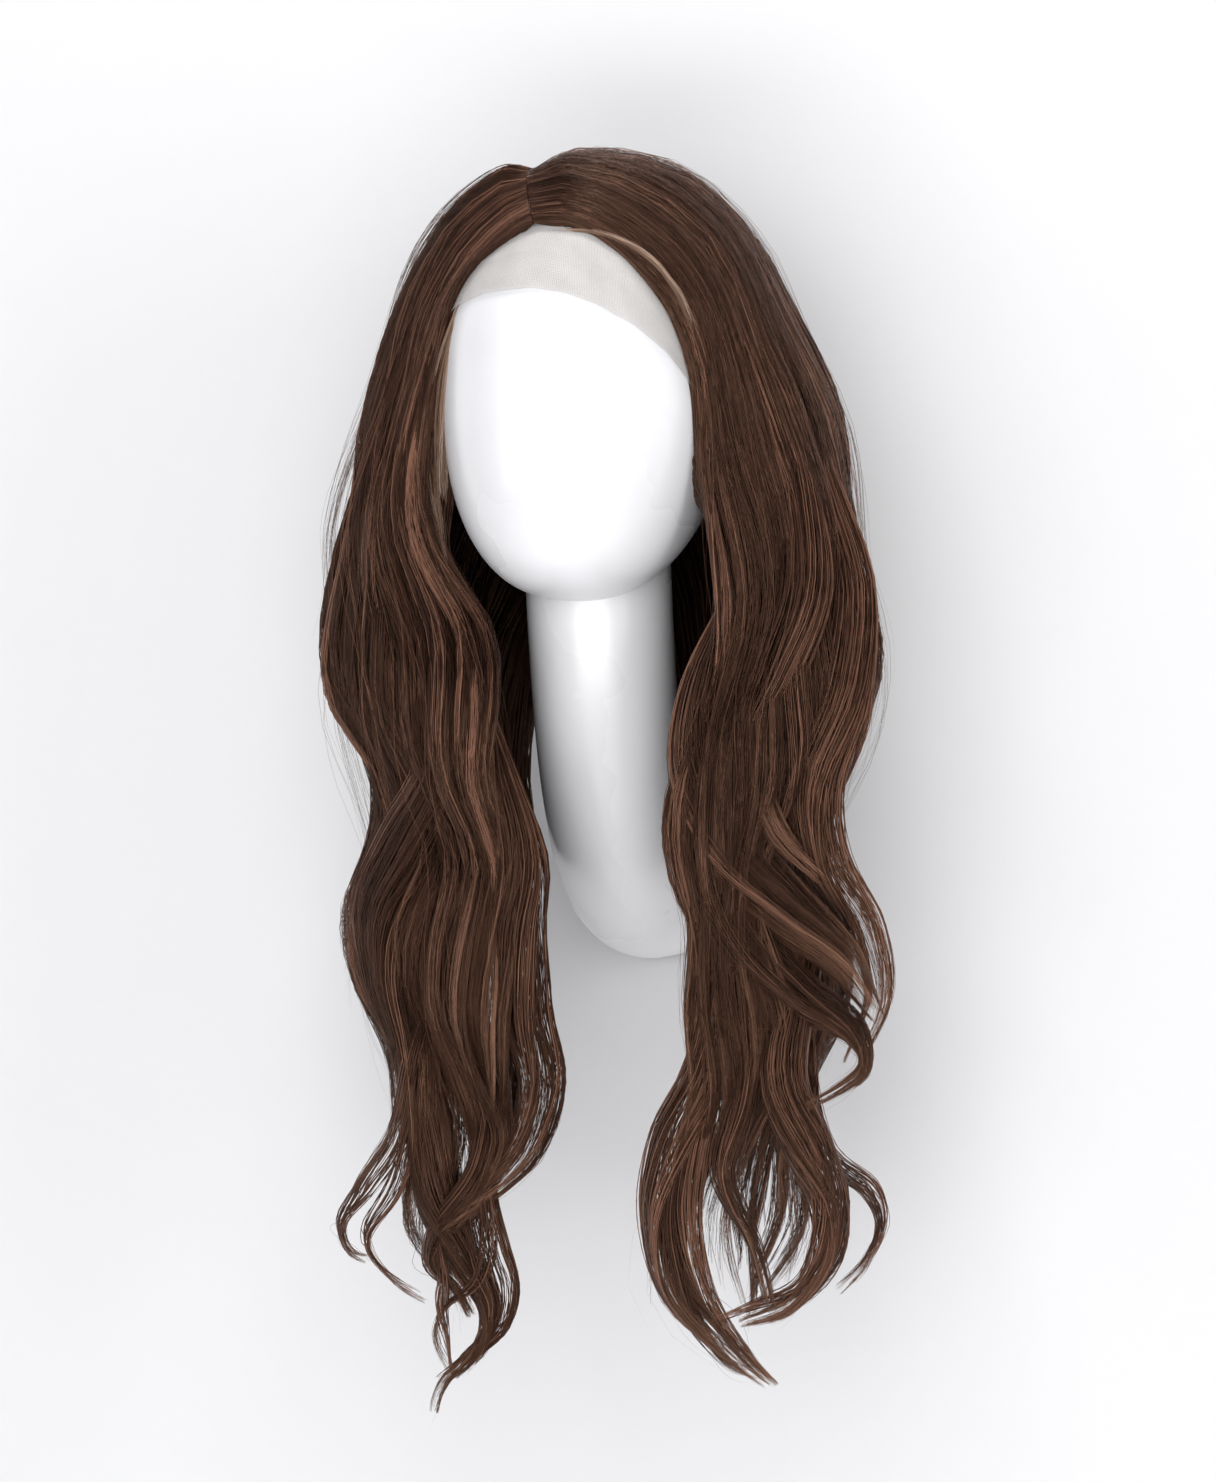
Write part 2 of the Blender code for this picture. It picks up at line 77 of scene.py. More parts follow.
# %% Read the driving sizes from the frame
MM = 0.001
head_low, head_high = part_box("rear_shell")
HALF_WIDTH = (head_high[0] - head_low[0]) / 2
CROWN_Z = head_high[2]
WALL_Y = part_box("wall_plate")[1][1]
HALF_DEPTH = 0.0945
CRANIUM_Y = -0.155
WIDEST_Z = 0.280
CHIN_Z = 0.156
CHIN_FORWARD = 0.030
JAW_POWER, JAW_ROOT = 2.2, 1 / 2.4
NECK_RADIUS = 0.039
NECK_POLES = ((-0.1475, 0.205), (-0.131, 0.088), (-0.106, -0.001), (-0.022, 0.0))
NECK_END_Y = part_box("wall_pad")[0][1] - 0.0003
print("head", round(HALF_WIDTH * 2, 4), "wide; crown at", round(CROWN_Z, 4))

# %% [markdown]
# ## Camera
#
# The camera stands on the +X side of the head, level with the middle of the hair, and far enough
# away for a long lens. `seen` places a point by what that camera sees: how far across from the
# head's axis, how far up, and how far out from the wall. The locks of hair are laid out with it.

# %% Place the camera
TURN = math.radians(15)
LENS_MM, SENSOR_MM = 100, 36
SHOWN_HEIGHT = 0.785
AIM = Vector((0.0088, CRANIUM_Y, 0.0827))

camera_data = bpy.data.cameras.new("camera")
camera_data.lens = LENS_MM
camera_data.sensor_width = SENSOR_MM
camera = bpy.data.objects.new("camera", camera_data)
bpy.context.scene.collection.objects.link(camera)
bpy.context.scene.camera = camera
towards = Vector((math.sin(TURN), -math.cos(TURN), 0))
camera.location = AIM + towards * (SHOWN_HEIGHT * LENS_MM / SENSOR_MM)
camera.rotation_mode = "QUATERNION"
camera.rotation_quaternion = (-towards).to_track_quat("-Z", "Y")
print("camera at", [round(c, 3) for c in camera.location])


def seen(across, up, out):
    """Millimetres (X, out, Z) of a point across and up as the camera sees it, out from the wall."""
    return ((across + (out + CRANIUM_Y / MM) * math.sin(TURN)) / math.cos(TURN), out, up)


# %% [markdown]
# ## Materials
#
# One small function adds a node with its settings and its links. Colours are written as sRGB hex
# values, and turned to the linear values that Blender works in.

# %% Small helpers for node trees
def linear(hex_colour):
    """The linear RGBA of an sRGB hex colour."""
    channels = [int(hex_colour[i : i + 2], 16) / 255 for i in (1, 3, 5)]
    return [c / 12.92 if c <= 0.04045 else ((c + 0.055) / 1.055) ** 2.4 for c in channels] + [1.0]


def add(tree, kind, inputs=(), stops=(), **settings):
    """Adds a node. inputs gives a value, or the output socket to link, for each named input.

    stops are the (place, hex colour) pairs of a colour ramp.
    """
    node = tree.nodes.new(kind)
    for name, value in settings.items():
        setattr(node, name, value)
    for name, value in dict(inputs).items():
        socket = node.inputs[name]
        if isinstance(value, bpy.types.NodeSocket):
            tree.links.new(value, socket)
        else:
            socket.default_value = value
    for k, (place, colour) in enumerate(stops):
        elements = node.color_ramp.elements
        element = elements[k] if k < len(elements) else elements.new(place)
        element.position = place
        element.color = linear(colour)
    return node


def new_material(name):
    """A material with an empty node tree. Returns both."""
    material = bpy.data.materials.new(name)
    material.use_nodes = True
    material.node_tree.nodes.clear()
    return material, material.node_tree


# %% [markdown]
# ## Gel-coated glass fibre
#
# The head is moulded in glass fibre and finished with a sprayed white gel coat. That gives a bright
# white body under a clear gloss, with reflections that are a little soft, because a sprayed coat
# keeps a faint orange peel about 3 mm across.

# %% Gloss white gel coat
PEEL_MM = 3.0


def make_gel_coat():
    material, tree = new_material("gel_coat_gloss_white")
    place = add(tree, "ShaderNodeTexCoord").outputs["Object"]
    peel = add(tree, "ShaderNodeTexNoise", {"Vector": place, "Scale": 1 / (PEEL_MM * MM), "Detail": 2.0})
    clouds = add(tree, "ShaderNodeTexNoise", {"Vector": place, "Scale": 9.0, "Detail": 3.0})
    colours = ((0.3, "#e4e4e6"), (0.7, "#e9e9eb"))
    colour = add(tree, "ShaderNodeValToRGB", {"Fac": clouds.outputs["Fac"]}, colours).outputs["Color"]
    gloss = add(
        tree,
        "ShaderNodeMapRange",
        {"Value": clouds.outputs["Fac"], "From Min": 0.3, "From Max": 0.7, "To Min": 0.24, "To Max": 0.30},
    )
    bump = add(
        tree, "ShaderNodeBump", {"Height": peel.outputs["Fac"], "Strength": 0.03, "Distance": 0.0002}
    )
    coat = add(
        tree,
        "ShaderNodeBsdfPrincipled",
        {
            "Base Color": colour,
            "Roughness": gloss.outputs["Result"],
            "Normal": bump.outputs["Normal"],
            "IOR": 1.5,
            "Coat Weight": 0.35,
            "Coat Roughness": 0.2,
        },
    )
    add(tree, "ShaderNodeOutputMaterial", {"Surface": coat.outputs["BSDF"]})
    return material


GEL_COAT = make_gel_coat()
print("made", GEL_COAT.name)

# %% [markdown]
# ## The moulded head
#
# The head is one egg-like form that narrows to a chin, and a round neck that swings back to the
# wall. It could be sculpted, but both follow a rule, so the egg is a finely divided sphere whose
# points a formula moves, and the neck is a curve with a round bevel. A Boolean joins them, which
# keeps the crisp crease under the chin, and another opens the neck's end for the plate behind it.

# %% Mould the head and the neck
def on_head(direction, grow):
    """The point of the head, grown outwards by grow, that a point of the unit sphere stands for."""
    around = math.hypot(direction.x, direction.y)
    width, depth = HALF_WIDTH + grow, HALF_DEPTH + grow
    if direction.z >= 0 or around < 1e-6:
        rise = CROWN_Z - WIDEST_Z + grow if direction.z >= 0 else WIDEST_Z - CHIN_Z + grow
        centre = CRANIUM_Y - (0 if direction.z >= 0 else CHIN_FORWARD)
        return Vector((direction.x * width, centre + direction.y * depth, WIDEST_Z + direction.z * rise))
    drop = -direction.z
    full_jaw = (1 - drop**JAW_POWER) ** JAW_ROOT / around
    backward = max(0.0, direction.y / around)
    swell = full_jaw + (1 - full_jaw) * backward**1.5
    centre = CRANIUM_Y - CHIN_FORWARD * drop**1.2
    return Vector(
        (
            direction.x * swell * width,
            centre + direction.y * swell * depth,
            WIDEST_Z - drop * (WIDEST_Z - CHIN_Z + grow),
        )
    )


def on_head_at(round_angle, z, grow):
    """The point of the grown head at height z; 0 radians is the face, and a positive angle goes to +X."""
    above = z >= WIDEST_Z
    rise = (CROWN_Z - WIDEST_Z if above else WIDEST_Z - CHIN_Z) + grow
    up = max(-0.999, min(0.999, (z - WIDEST_Z) / rise))
    level = math.sqrt(1 - up * up)
    return on_head(Vector((level * math.sin(round_angle), -level * math.cos(round_angle), up)), grow)


def neck_centre(t):
    a, b, c, d = (Vector((0.0, y, z)) for y, z in NECK_POLES)
    s = 1 - t
    return s**3 * a + 3 * s * s * t * b + 3 * s * t * t * c + t**3 * d


def object_of(name, mesh):
    obj = bpy.data.objects.new(name, mesh)
    bpy.context.scene.collection.objects.link(obj)
    return obj


def mesh_of(name, bm):
    """A mesh from a bmesh, with its faces pointing outwards."""
    bm.normal_update()
    bmesh.ops.recalc_face_normals(bm, faces=bm.faces)
    mesh = bpy.data.meshes.new(name)
    bm.to_mesh(mesh)
    bm.free()
    return mesh


def plain_mesh(name, source):
    """The evaluated mesh of an object in its place, as a new object. The source is removed."""
    graph = bpy.context.evaluated_depsgraph_get()
    graph.update()
    mesh = bpy.data.meshes.new_from_object(source.evaluated_get(graph))
    mesh.transform(source.matrix_world)
    mesh.name = name
    bpy.data.objects.remove(source)
    return object_of(name, mesh)


def tube_along(name, points, radius, resolution):
    curve = bpy.data.curves.new(name, "CURVE")
    curve.dimensions = "3D"
    curve.bevel_depth = radius
    curve.bevel_resolution = resolution
    curve.use_fill_caps = True
    spline = curve.splines.new("POLY")
    spline.points.add(len(points) - 1)
    for place, point in zip(points, spline.points):
        point.co = (*place, 1.0)
    tube = plain_mesh(name, object_of(name, curve))
    bm = bmesh.new()
    bm.from_mesh(tube.data)
    bmesh.ops.remove_doubles(bm, verts=bm.verts, dist=1e-6)
    tube.data = mesh_of(name, bm)
    return tube


def mould_head():
    bm = bmesh.new()
    bmesh.ops.create_uvsphere(bm, u_segments=128, v_segments=96, radius=1.0)
    for vert in bm.verts:
        vert.co = on_head(vert.co.copy(), 0.0)
    egg = object_of("moulded_head", mesh_of("moulded_head", bm))
    route = [neck_centre(i / 60) for i in range(61)]
    neck = tube_along("neck", route + [Vector((0, NECK_END_Y, 0))], NECK_RADIUS, 22)
    bore = [Vector((0, -0.060, 0.0035)), Vector((0, -0.030, 0)), Vector((0, 0.02, 0))]
    hollow = tube_along("neck_bore", bore, NECK_RADIUS - 0.003, 22)
    for tool, operation in ((neck, "UNION"), (hollow, "DIFFERENCE")):
        cut = egg.modifiers.new(operation, "BOOLEAN")
        cut.operation = operation
        cut.object = tool
    head = plain_mesh("moulded_head", egg)
    for tool in (neck, hollow):
        bpy.data.objects.remove(tool)
    head.data.materials.clear()
    head.data.materials.append(GEL_COAT)
    head.data.shade_smooth()
    head.data.set_sharp_from_angle(angle=math.radians(32))
    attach(head, "head")
    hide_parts("face_shell", "rear_shell")
    return head


moulded_head = mould_head()
print("moulded head", len(moulded_head.data.polygons), "faces")

# %% [markdown]
# ## Hair: the finish
#
# The wig is human hair dyed a dark chestnut. A hair is a smooth, slightly rough cylinder, so a lock
# shines in bands that run across it, and its colour shows most where light has passed into it. The
# tips are painted lighter than the roots, as painted light that shines through the thin ends. Each
# strand carries two numbers: `share`, from its root to its tip, and `tone`, its place between dark
# and light, which also holds painted shade for deep strands and for the left side.

# %% Dyed chestnut hair
HAIR_TONES = ((0.0, "#0c0604"), (0.4, "#190e09"), (0.7, "#35211a"), (1.0, "#7f5b4a"))
TIP_TONES = ((0.0, "#2c1b13"), (0.5, "#553a2b"), (1.0, "#9c7660"))


def make_hair(name, roughness, painted_shade_value, root_tones=HAIR_TONES, tip_tones=TIP_TONES):
    material, tree = new_material(name)
    share = add(tree, "ShaderNodeAttribute", attribute_name="share").outputs["Fac"]
    tone = add(tree, "ShaderNodeAttribute", attribute_name="tone").outputs["Fac"]
    place = add(tree, "ShaderNodeTexCoord").outputs["Object"]
    streaks = add(tree, "ShaderNodeTexNoise", {"Vector": place, "Scale": 60.0, "Detail": 2.0})
    shade = add(
        tree, "ShaderNodeMath", {0: streaks.outputs["Fac"], 1: 0.35, 2: tone}, operation="MULTIPLY_ADD"
    )
    shade = add(tree, "ShaderNodeMath", {0: shade.outputs[0], 1: 0.175}, operation="SUBTRACT")
    roots = add(tree, "ShaderNodeValToRGB", {"Fac": shade.outputs[0]}, root_tones).outputs["Color"]
    tips = add(tree, "ShaderNodeValToRGB", {"Fac": shade.outputs[0]}, tip_tones).outputs["Color"]
    # Painted light: the tips are made lighter, for light shining through the thin ends.
    painted_tip_light = add(
        tree, "ShaderNodeMapRange", {"Value": share, "From Min": 0.72, "From Max": 1.0, "To Max": 0.85}
    )
    colour = add(tree, "ShaderNodeMix", {"Factor": painted_tip_light.outputs["Result"]}, data_type="RGBA")
    # A mix has its two colours at inputs 6 and 7, and the mixed colour at output 2.
    tree.links.new(roots, colour.inputs[6])
    tree.links.new(tips, colour.inputs[7])
    # A value below 1 darkens the whole finish: painted shade.
    deep = add(tree, "ShaderNodeHueSaturation", {"Value": painted_shade_value, "Color": colour.outputs[2]})
    hair = add(
        tree,
        "ShaderNodeBsdfPrincipled",
        {
            "Base Color": deep.outputs["Color"],
            "Roughness": roughness,
            "IOR": 1.55,
            "Specular IOR Level": 0.8,
            "Specular Tint": linear("#efb597"),
        },
    )
    add(tree, "ShaderNodeOutputMaterial", {"Surface": hair.outputs["BSDF"]})
    return material


HAIR = make_hair("human_hair_dyed_chestnut", 0.28, 1.0)
# The under-hair finish is darkened to about a third: painted shade deep inside the hair.
UNDER_HAIR = make_hair("human_hair_painted_shade", 0.5, 0.35)
PALE_TONES = ((0.0, "#7b6252"), (0.5, "#a08775"), (1.0, "#cdb9a9"))
PALE_HAIR = make_hair("human_hair_knotted_in_lace", 0.5, 1.0, PALE_TONES, PALE_TONES)
print("made", HAIR.name, UNDER_HAIR.name, PALE_HAIR.name)

# %% [markdown]
# ## Hair: from guides to strands
#
# Real hair could be a particle system, but the finished wig has to be plain mesh. So a few listed
# guide lines stand for a sheet of hair, and each strand takes its own path between them. Strands
# gather in clumps towards their tips and share a wave with their neighbours, as hair does after it is
# set on rollers. `Sheet` reads a point of such a sheet: `t` runs across it from one edge to the
# other, `s` from root to tip, and `deep` is how far the point lies below the outside, towards the
# sheet's core.

# %% A sheet of hair between guides
def spline_weights(x, count):
    """Catmull-Rom neighbours and weights for places x, from 0 to 1, along count points."""
    along = np.clip(x, 0, 1) * (count - 1)
    first = np.minimum(along.astype(int), count - 2)
    f = along - first
    near = [np.clip(first + k, 0, count - 1) for k in (-1, 0, 1, 2)]
    weights = (
        0.5 * (-f + 2 * f**2 - f**3),
        0.5 * (2 - 5 * f**2 + 3 * f**3),
        0.5 * (f + 4 * f**2 - 3 * f**3),
        0.5 * (-(f**2) + f**3),
    )
    return near, weights


class Sheet:
    """Guides are lists of (X, out, Z) in mm. core gives (X, out) and depth the thickness, per station."""

    def __init__(self, guides, core, depth):
        self.guides = np.array(guides, float)
        self.core = np.array(core, float)
        self.depth = np.array(depth, float)

    def along(self, values, s):
        near, weights = spline_weights(s, len(values))
        return sum(values[n] * (w[..., None] if values.ndim > 1 else w) for n, w in zip(near, weights))

    def point(self, t, s, deep):
        """Points in mm, as (X, out, Z), for arrays of one shape."""
        rows, row_weights = spline_weights(t, self.guides.shape[0])
        stations, station_weights = spline_weights(s, self.guides.shape[1])
        place = sum(
            self.guides[r, c] * (v * w)[..., None]
            for r, v in zip(rows, row_weights)
            for c, w in zip(stations, station_weights)
        )
        inward = self.along(self.core, s) - place
        inward /= np.maximum(np.linalg.norm(inward, axis=-1, keepdims=True), 1e-6)
        return place + inward * (deep * self.along(self.depth, s))[..., None]


def to_metres(points):
    """(X, out, Z) in mm to (X, Y, Z) in metres, because out is measured from the wall."""
    return np.stack([points[..., 0], -points[..., 1], points[..., 2]], axis=-1) * MM


# %% [markdown]
# `groom` draws the strands of a sheet. Every random number comes from one seeded generator, so the
# wig is the same each time. Hair falls in locks, and each lock holds finer clumps. A lock is domed,
# so a dark furrow lies between it and the next one. It turns slowly about its own middle on the way
# down, and waves out from the head and sideways at once, a quarter of a turn apart, as hair does
# after it is set on rollers. Neighbouring locks wave almost together.

# %% Draw strands
POINTS_PER_STRAND = 28


def unit(vectors):
    return vectors / np.maximum(np.linalg.norm(vectors, axis=-1, keepdims=True), 1e-6)


def groom(sheet, count, seed, across=(0.0, 1.0), deep=(0.0, 1.0), locks=5, clumps=14, lock_hold=0.35,
          clump_hold=0.85, dome_mm=4.0, twist=1.0, wave_mm=(5.0, 6.0), turns=5.0, phase=0.0,
          phase_across=5.0, ends=(0.86, 1.0), start=0.0, tone=(0.2, 0.75), stray=0.015, thick=1.0,
          points=POINTS_PER_STRAND):
    """Strand paths in metres, and the share, tone and thickness that go with them.

    wave_mm is sideways and outwards; locks and clumps are how many lie side by side, and how many
    each lock holds; the holds say how firmly strands gather in them towards the tips.
    """
    rng = np.random.default_rng(seed)
    half = (across[1] - across[0]) / locks / 2
    lock_t = across[0] + half * (2 * np.arange(locks) + 1 + rng.uniform(-0.25, 0.25, locks))
    lock_phase = phase + phase_across * lock_t + rng.normal(0, 0.35, locks)
    lock_twist = twist * rng.choice([-1.0, 1.0], locks) * rng.uniform(0.6, 1.2, locks)
    lock_end = rng.uniform(*ends, locks)
    lock_tone = rng.normal(0, 0.07, locks)
    lock_wave = rng.uniform(0.7, 1.25, locks)
    lock_rise = rng.uniform(0.4, 1.3, locks)
    clump_place = rng.uniform(-1, 1, (locks, clumps, 2))
    clump_end = rng.uniform(0.90, 1.04, (locks, clumps))
    clump_phase = rng.normal(0, 0.30, (locks, clumps))
    clump_tone = rng.normal(0, 0.17, (locks, clumps))

    lock = rng.integers(0, locks, count)
    own = rng.uniform(-1.06, 1.06, (count, 2))
    gaps = own[:, None, :] - clump_place[lock]
    clump = np.linalg.norm(gaps + rng.normal(0, 0.10, gaps.shape), axis=-1).argmin(1)
    middle = clump_place[lock, clump]
    end = np.clip(lock_end[lock] * clump_end[lock, clump] * rng.uniform(0.95, 1.02, count), 0.05, 1.0)
    share = np.linspace(0, 1, points)[None, :] * np.ones((count, 1))
    first = start + rng.uniform(0, 0.008, (count, 1))
    s = first + (end[:, None] - first) * share**0.88
    down = (s - start) / (1 - start)

    pull = (clump_hold * down**1.1)[..., None]
    place = own[:, None, :] * (1 - pull) + middle[:, None, :] * pull
    angle = lock_twist[lock][:, None] * math.pi * np.maximum(0, down - 0.25)
    a = place[..., 0] * np.cos(angle) - place[..., 1] * np.sin(angle)
    b = place[..., 0] * np.sin(angle) + place[..., 1] * np.cos(angle)
    hold = 1 - lock_hold * down**1.5
    t = lock_t[lock][:, None] + a * half * hold
    depth = sum(deep) / 2 + b * (deep[1] - deep[0]) / 2 * hold
    path = sheet.point(t, s, depth)

    nudge = 0.004
    side = unit(sheet.point(t + nudge, s, depth) - sheet.point(t - nudge, s, depth))
    front = unit(np.cross(side, unit(np.gradient(path, axis=1))))
    outwards = np.sign(np.sum(front * (path - sheet.point(t, s, depth + 0.2)), axis=-1, keepdims=True))
    front = front * outwards
    grown = np.clip(down * 2.2, 0.15, 1.0)
    rise = dome_mm * lock_rise[lock][:, None] * grown * (1 - np.minimum(a * a, 1.2))
    turn = 2 * math.pi * turns * s + lock_phase[lock][:, None] + clump_phase[lock, clump][:, None]
    size = lock_wave[lock][:, None] * np.clip((down - 0.08) * 2.4, 0.0, 1.0)
    path = path + side * (wave_mm[0] * size * np.sin(turn))[..., None]
    path = path + front * (rise + wave_mm[1] * size * np.cos(turn))[..., None]

    loose = rng.uniform(0, 1, count) < stray
    for k in range(3):
        bend = rng.normal(0, 1, (count, 1, 3)) * np.where(loose, 2.2, 0.30)[:, None, None]
        swings = rng.uniform(0.8, 1.6 + 1.5 * k, (count, 1))
        offset = rng.uniform(0, 6.3, (count, 1))
        path = path + bend * (down * np.sin(2 * math.pi * swings * share + offset))[..., None]
    # Strands deeper in a top layer get a darker tone: painted shade for the light that the hair over them
    # holds back.
    painted_depth_shade = 0.16 * (b[:, points // 2] if deep[1] - deep[0] < 0.9 else 0.0)
    strand_tone = rng.uniform(*tone, count) + lock_tone[lock] + clump_tone[lock, clump] - painted_depth_shade
    thickness = thick * np.where(loose, 0.45, 1.0) * rng.uniform(0.8, 1.2, count)
    return to_metres(path), share, np.clip(strand_tone, 0, 1), thickness


CORE_BEHIND_MM = 200.0


def lock_sheet(points, half_widths, roundness=0.6):
    """A sheet for one lock: three guides about a line of (X, out, Z) mm points."""
    line = np.array(points, float)
    widths = np.interp(np.linspace(0, 1, len(line)), np.linspace(0, 1, len(half_widths)), half_widths)
    along = unit(np.gradient(line, axis=0))
    side = unit(np.cross(along, np.array([0.0, 1.0, 0.0])))
    back = np.array([0.0, -1.0, 0.0])
    edges = [
        line + side * (k * widths)[:, None] + back * (roundness * abs(k) * widths)[:, None]
        for k in (-1, 0, 1)
    ]
    return Sheet(edges, line + back * CORE_BEHIND_MM, widths * 1.2)


# %% [markdown]
# Geometry Nodes turn the paths into strands. The paths come in as a mesh of bare edges with the
# two numbers on their points. The tree makes them curves, adds a little frizz, thins each one
# towards its tip, and sweeps a three-sided profile along it, the cheapest closed tube there is.

# %% The strand tree
def make_strand_tree():
    tree = bpy.data.node_groups.new("strands_from_paths", "GeometryNodeTree")
    face = tree.interface
    face.new_socket("Paths", in_out="INPUT", socket_type="NodeSocketGeometry")
    for name, kind, value in (
        ("Strand radius", "NodeSocketFloat", 0.0003),
        ("Frizz", "NodeSocketFloat", 0.0004),
        ("Frizz per metre", "NodeSocketFloat", 60.0),
        ("Seed", "NodeSocketFloat", 1.0),
    ):
        face.new_socket(name, in_out="INPUT", socket_type=kind).default_value = value
    face.new_socket("Finish", in_out="INPUT", socket_type="NodeSocketMaterial")
    face.new_socket("Strands", in_out="OUTPUT", socket_type="NodeSocketGeometry")
    given = add(tree, "NodeGroupInput").outputs

    share, tone, thick = (
        add(tree, "GeometryNodeInputNamedAttribute", {"Name": name}).outputs["Attribute"]
        for name in ("share", "tone", "thick")
    )
    lines = add(tree, "GeometryNodeMeshToCurve", {"Mesh": given["Paths"]})
    own_noise = add(tree, "ShaderNodeMath", {0: tone, 1: 40.0, 2: given["Seed"]}, operation="MULTIPLY_ADD")
    noise = add(
        tree,
        "ShaderNodeTexNoise",
        {"Scale": given["Frizz per metre"], "W": own_noise.outputs[0], "Detail": 1.0},
        noise_dimensions="4D",
    )
    centred = add(
        tree,
        "ShaderNodeVectorMath",
        {0: noise.outputs["Color"], 1: (0.5, 0.5, 0.5)},
        operation="SUBTRACT",
    )
    reach = add(tree, "ShaderNodeMath", {0: share, 1: given["Frizz"]}, operation="MULTIPLY")
    frizz = add(tree, "ShaderNodeVectorMath", {0: centred.outputs[0]}, operation="SCALE")
    tree.links.new(reach.outputs[0], frizz.inputs["Scale"])
    moved = add(
        tree, "GeometryNodeSetPosition", {"Geometry": lines.outputs["Curve"], "Offset": frizz.outputs[0]}
    )
    thin = add(
        tree,
        "ShaderNodeMapRange",
        {"Value": share, "From Min": 0.55, "From Max": 1.0, "To Min": 1.0, "To Max": 0.25},
    )
    full = add(tree, "ShaderNodeMath", {0: given["Strand radius"], 1: thick}, operation="MULTIPLY")
    radius = add(
        tree, "ShaderNodeMath", {0: full.outputs[0], 1: thin.outputs["Result"]}, operation="MULTIPLY"
    )
    profile = add(tree, "GeometryNodeCurvePrimitiveCircle", {"Resolution": 3, "Radius": 1.0})
    tubes = add(
        tree,
        "GeometryNodeCurveToMesh",
        {
            "Curve": moved.outputs["Geometry"],
            "Profile Curve": profile.outputs["Curve"],
            "Scale": radius.outputs[0],
            "Fill Caps": True,
        },
    )
    smooth = add(tree, "GeometryNodeSetShadeSmooth", {"Geometry": tubes.outputs["Mesh"]})
    real = add(tree, "GeometryNodeRealizeInstances", {"Geometry": smooth.outputs["Geometry"]})
    finished = add(
        tree, "GeometryNodeSetMaterial", {"Geometry": real.outputs["Geometry"], "Material": given["Finish"]}
    )
    add(tree, "NodeGroupOutput", {"Strands": finished.outputs["Geometry"]})
    return tree


STRAND_TREE = make_strand_tree()
print("strand tree with", len(STRAND_TREE.nodes), "nodes")


# %% [markdown]
# `strands` writes the paths of some grooms into one mesh, lets the tree turn them into hair, and
# takes the result as a plain mesh. The tree's inputs are set by their identifiers, because a
# modifier does not know their names.

# %% Strands as a finished piece
def strands(name, grooms, radius_mm=0.25, frizz_mm=0.9, nodes=(), finish=None):
    """One piece made of the strands of some grooms, riding on the wig."""
    places, edges, numbers, first = [], [], {"share": [], "tone": [], "thick": []}, 0
    for paths, shares, tones, thicks in grooms:
        count, per = shares.shape
        index = first + np.arange(count * per).reshape(count, per)
        edges.append(np.stack([index[:, :-1], index[:, 1:]], axis=-1).reshape(-1, 2))
        places.append(paths.reshape(-1, 3))
        numbers["share"].append(shares.ravel())
        numbers["tone"].append(np.repeat(tones, per))
        numbers["thick"].append(np.repeat(thicks, per))
        first += count * per
    mesh = bpy.data.meshes.new(name + "_paths")
    mesh.vertices.add(first)
    mesh.vertices.foreach_set("co", np.concatenate(places).astype(np.float32).ravel())
    pairs = np.concatenate(edges).astype(np.int32)
    mesh.edges.add(len(pairs))
    mesh.edges.foreach_set("vertices", pairs.ravel())
    for label, values in numbers.items():
        data = mesh.attributes.new(label, "FLOAT", "POINT").data
        data.foreach_set("value", np.concatenate(values).astype(np.float32))
    source = object_of(name + "_paths", mesh)
    modifier = source.modifiers.new("Strands", "NODES")
    modifier.node_group = STRAND_TREE
    sockets = [item for item in STRAND_TREE.interface.items_tree if item.in_out == "INPUT"]
    socket = {item.name: item.identifier for item in sockets}
    modifier[socket["Strand radius"]] = radius_mm * MM
    modifier[socket["Frizz"]] = frizz_mm * MM
    modifier[socket["Finish"]] = finish or HAIR
    piece = plain_mesh(name, source)
    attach(piece, "wig")
    if nodes:
        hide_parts(*nodes)
    print(f"{name}: {sum(len(g[2]) for g in grooms)} strands, {len(piece.data.polygons)} faces")
    return piece


# %% [markdown]
# ## Hair: the two sides of the wig
#
# Each side is one sheet that starts at the parting and ends at the tips. Its first guide edges the
# face, its third is the outline that shows against the wall, and its last runs down the back of
# the head and comes forward beside the neck. In plan such a sheet is a C that is open towards the
# neck, and the deep strands fill it. The stations of a guide go down the head and then down the
# length, about 40 mm apart.

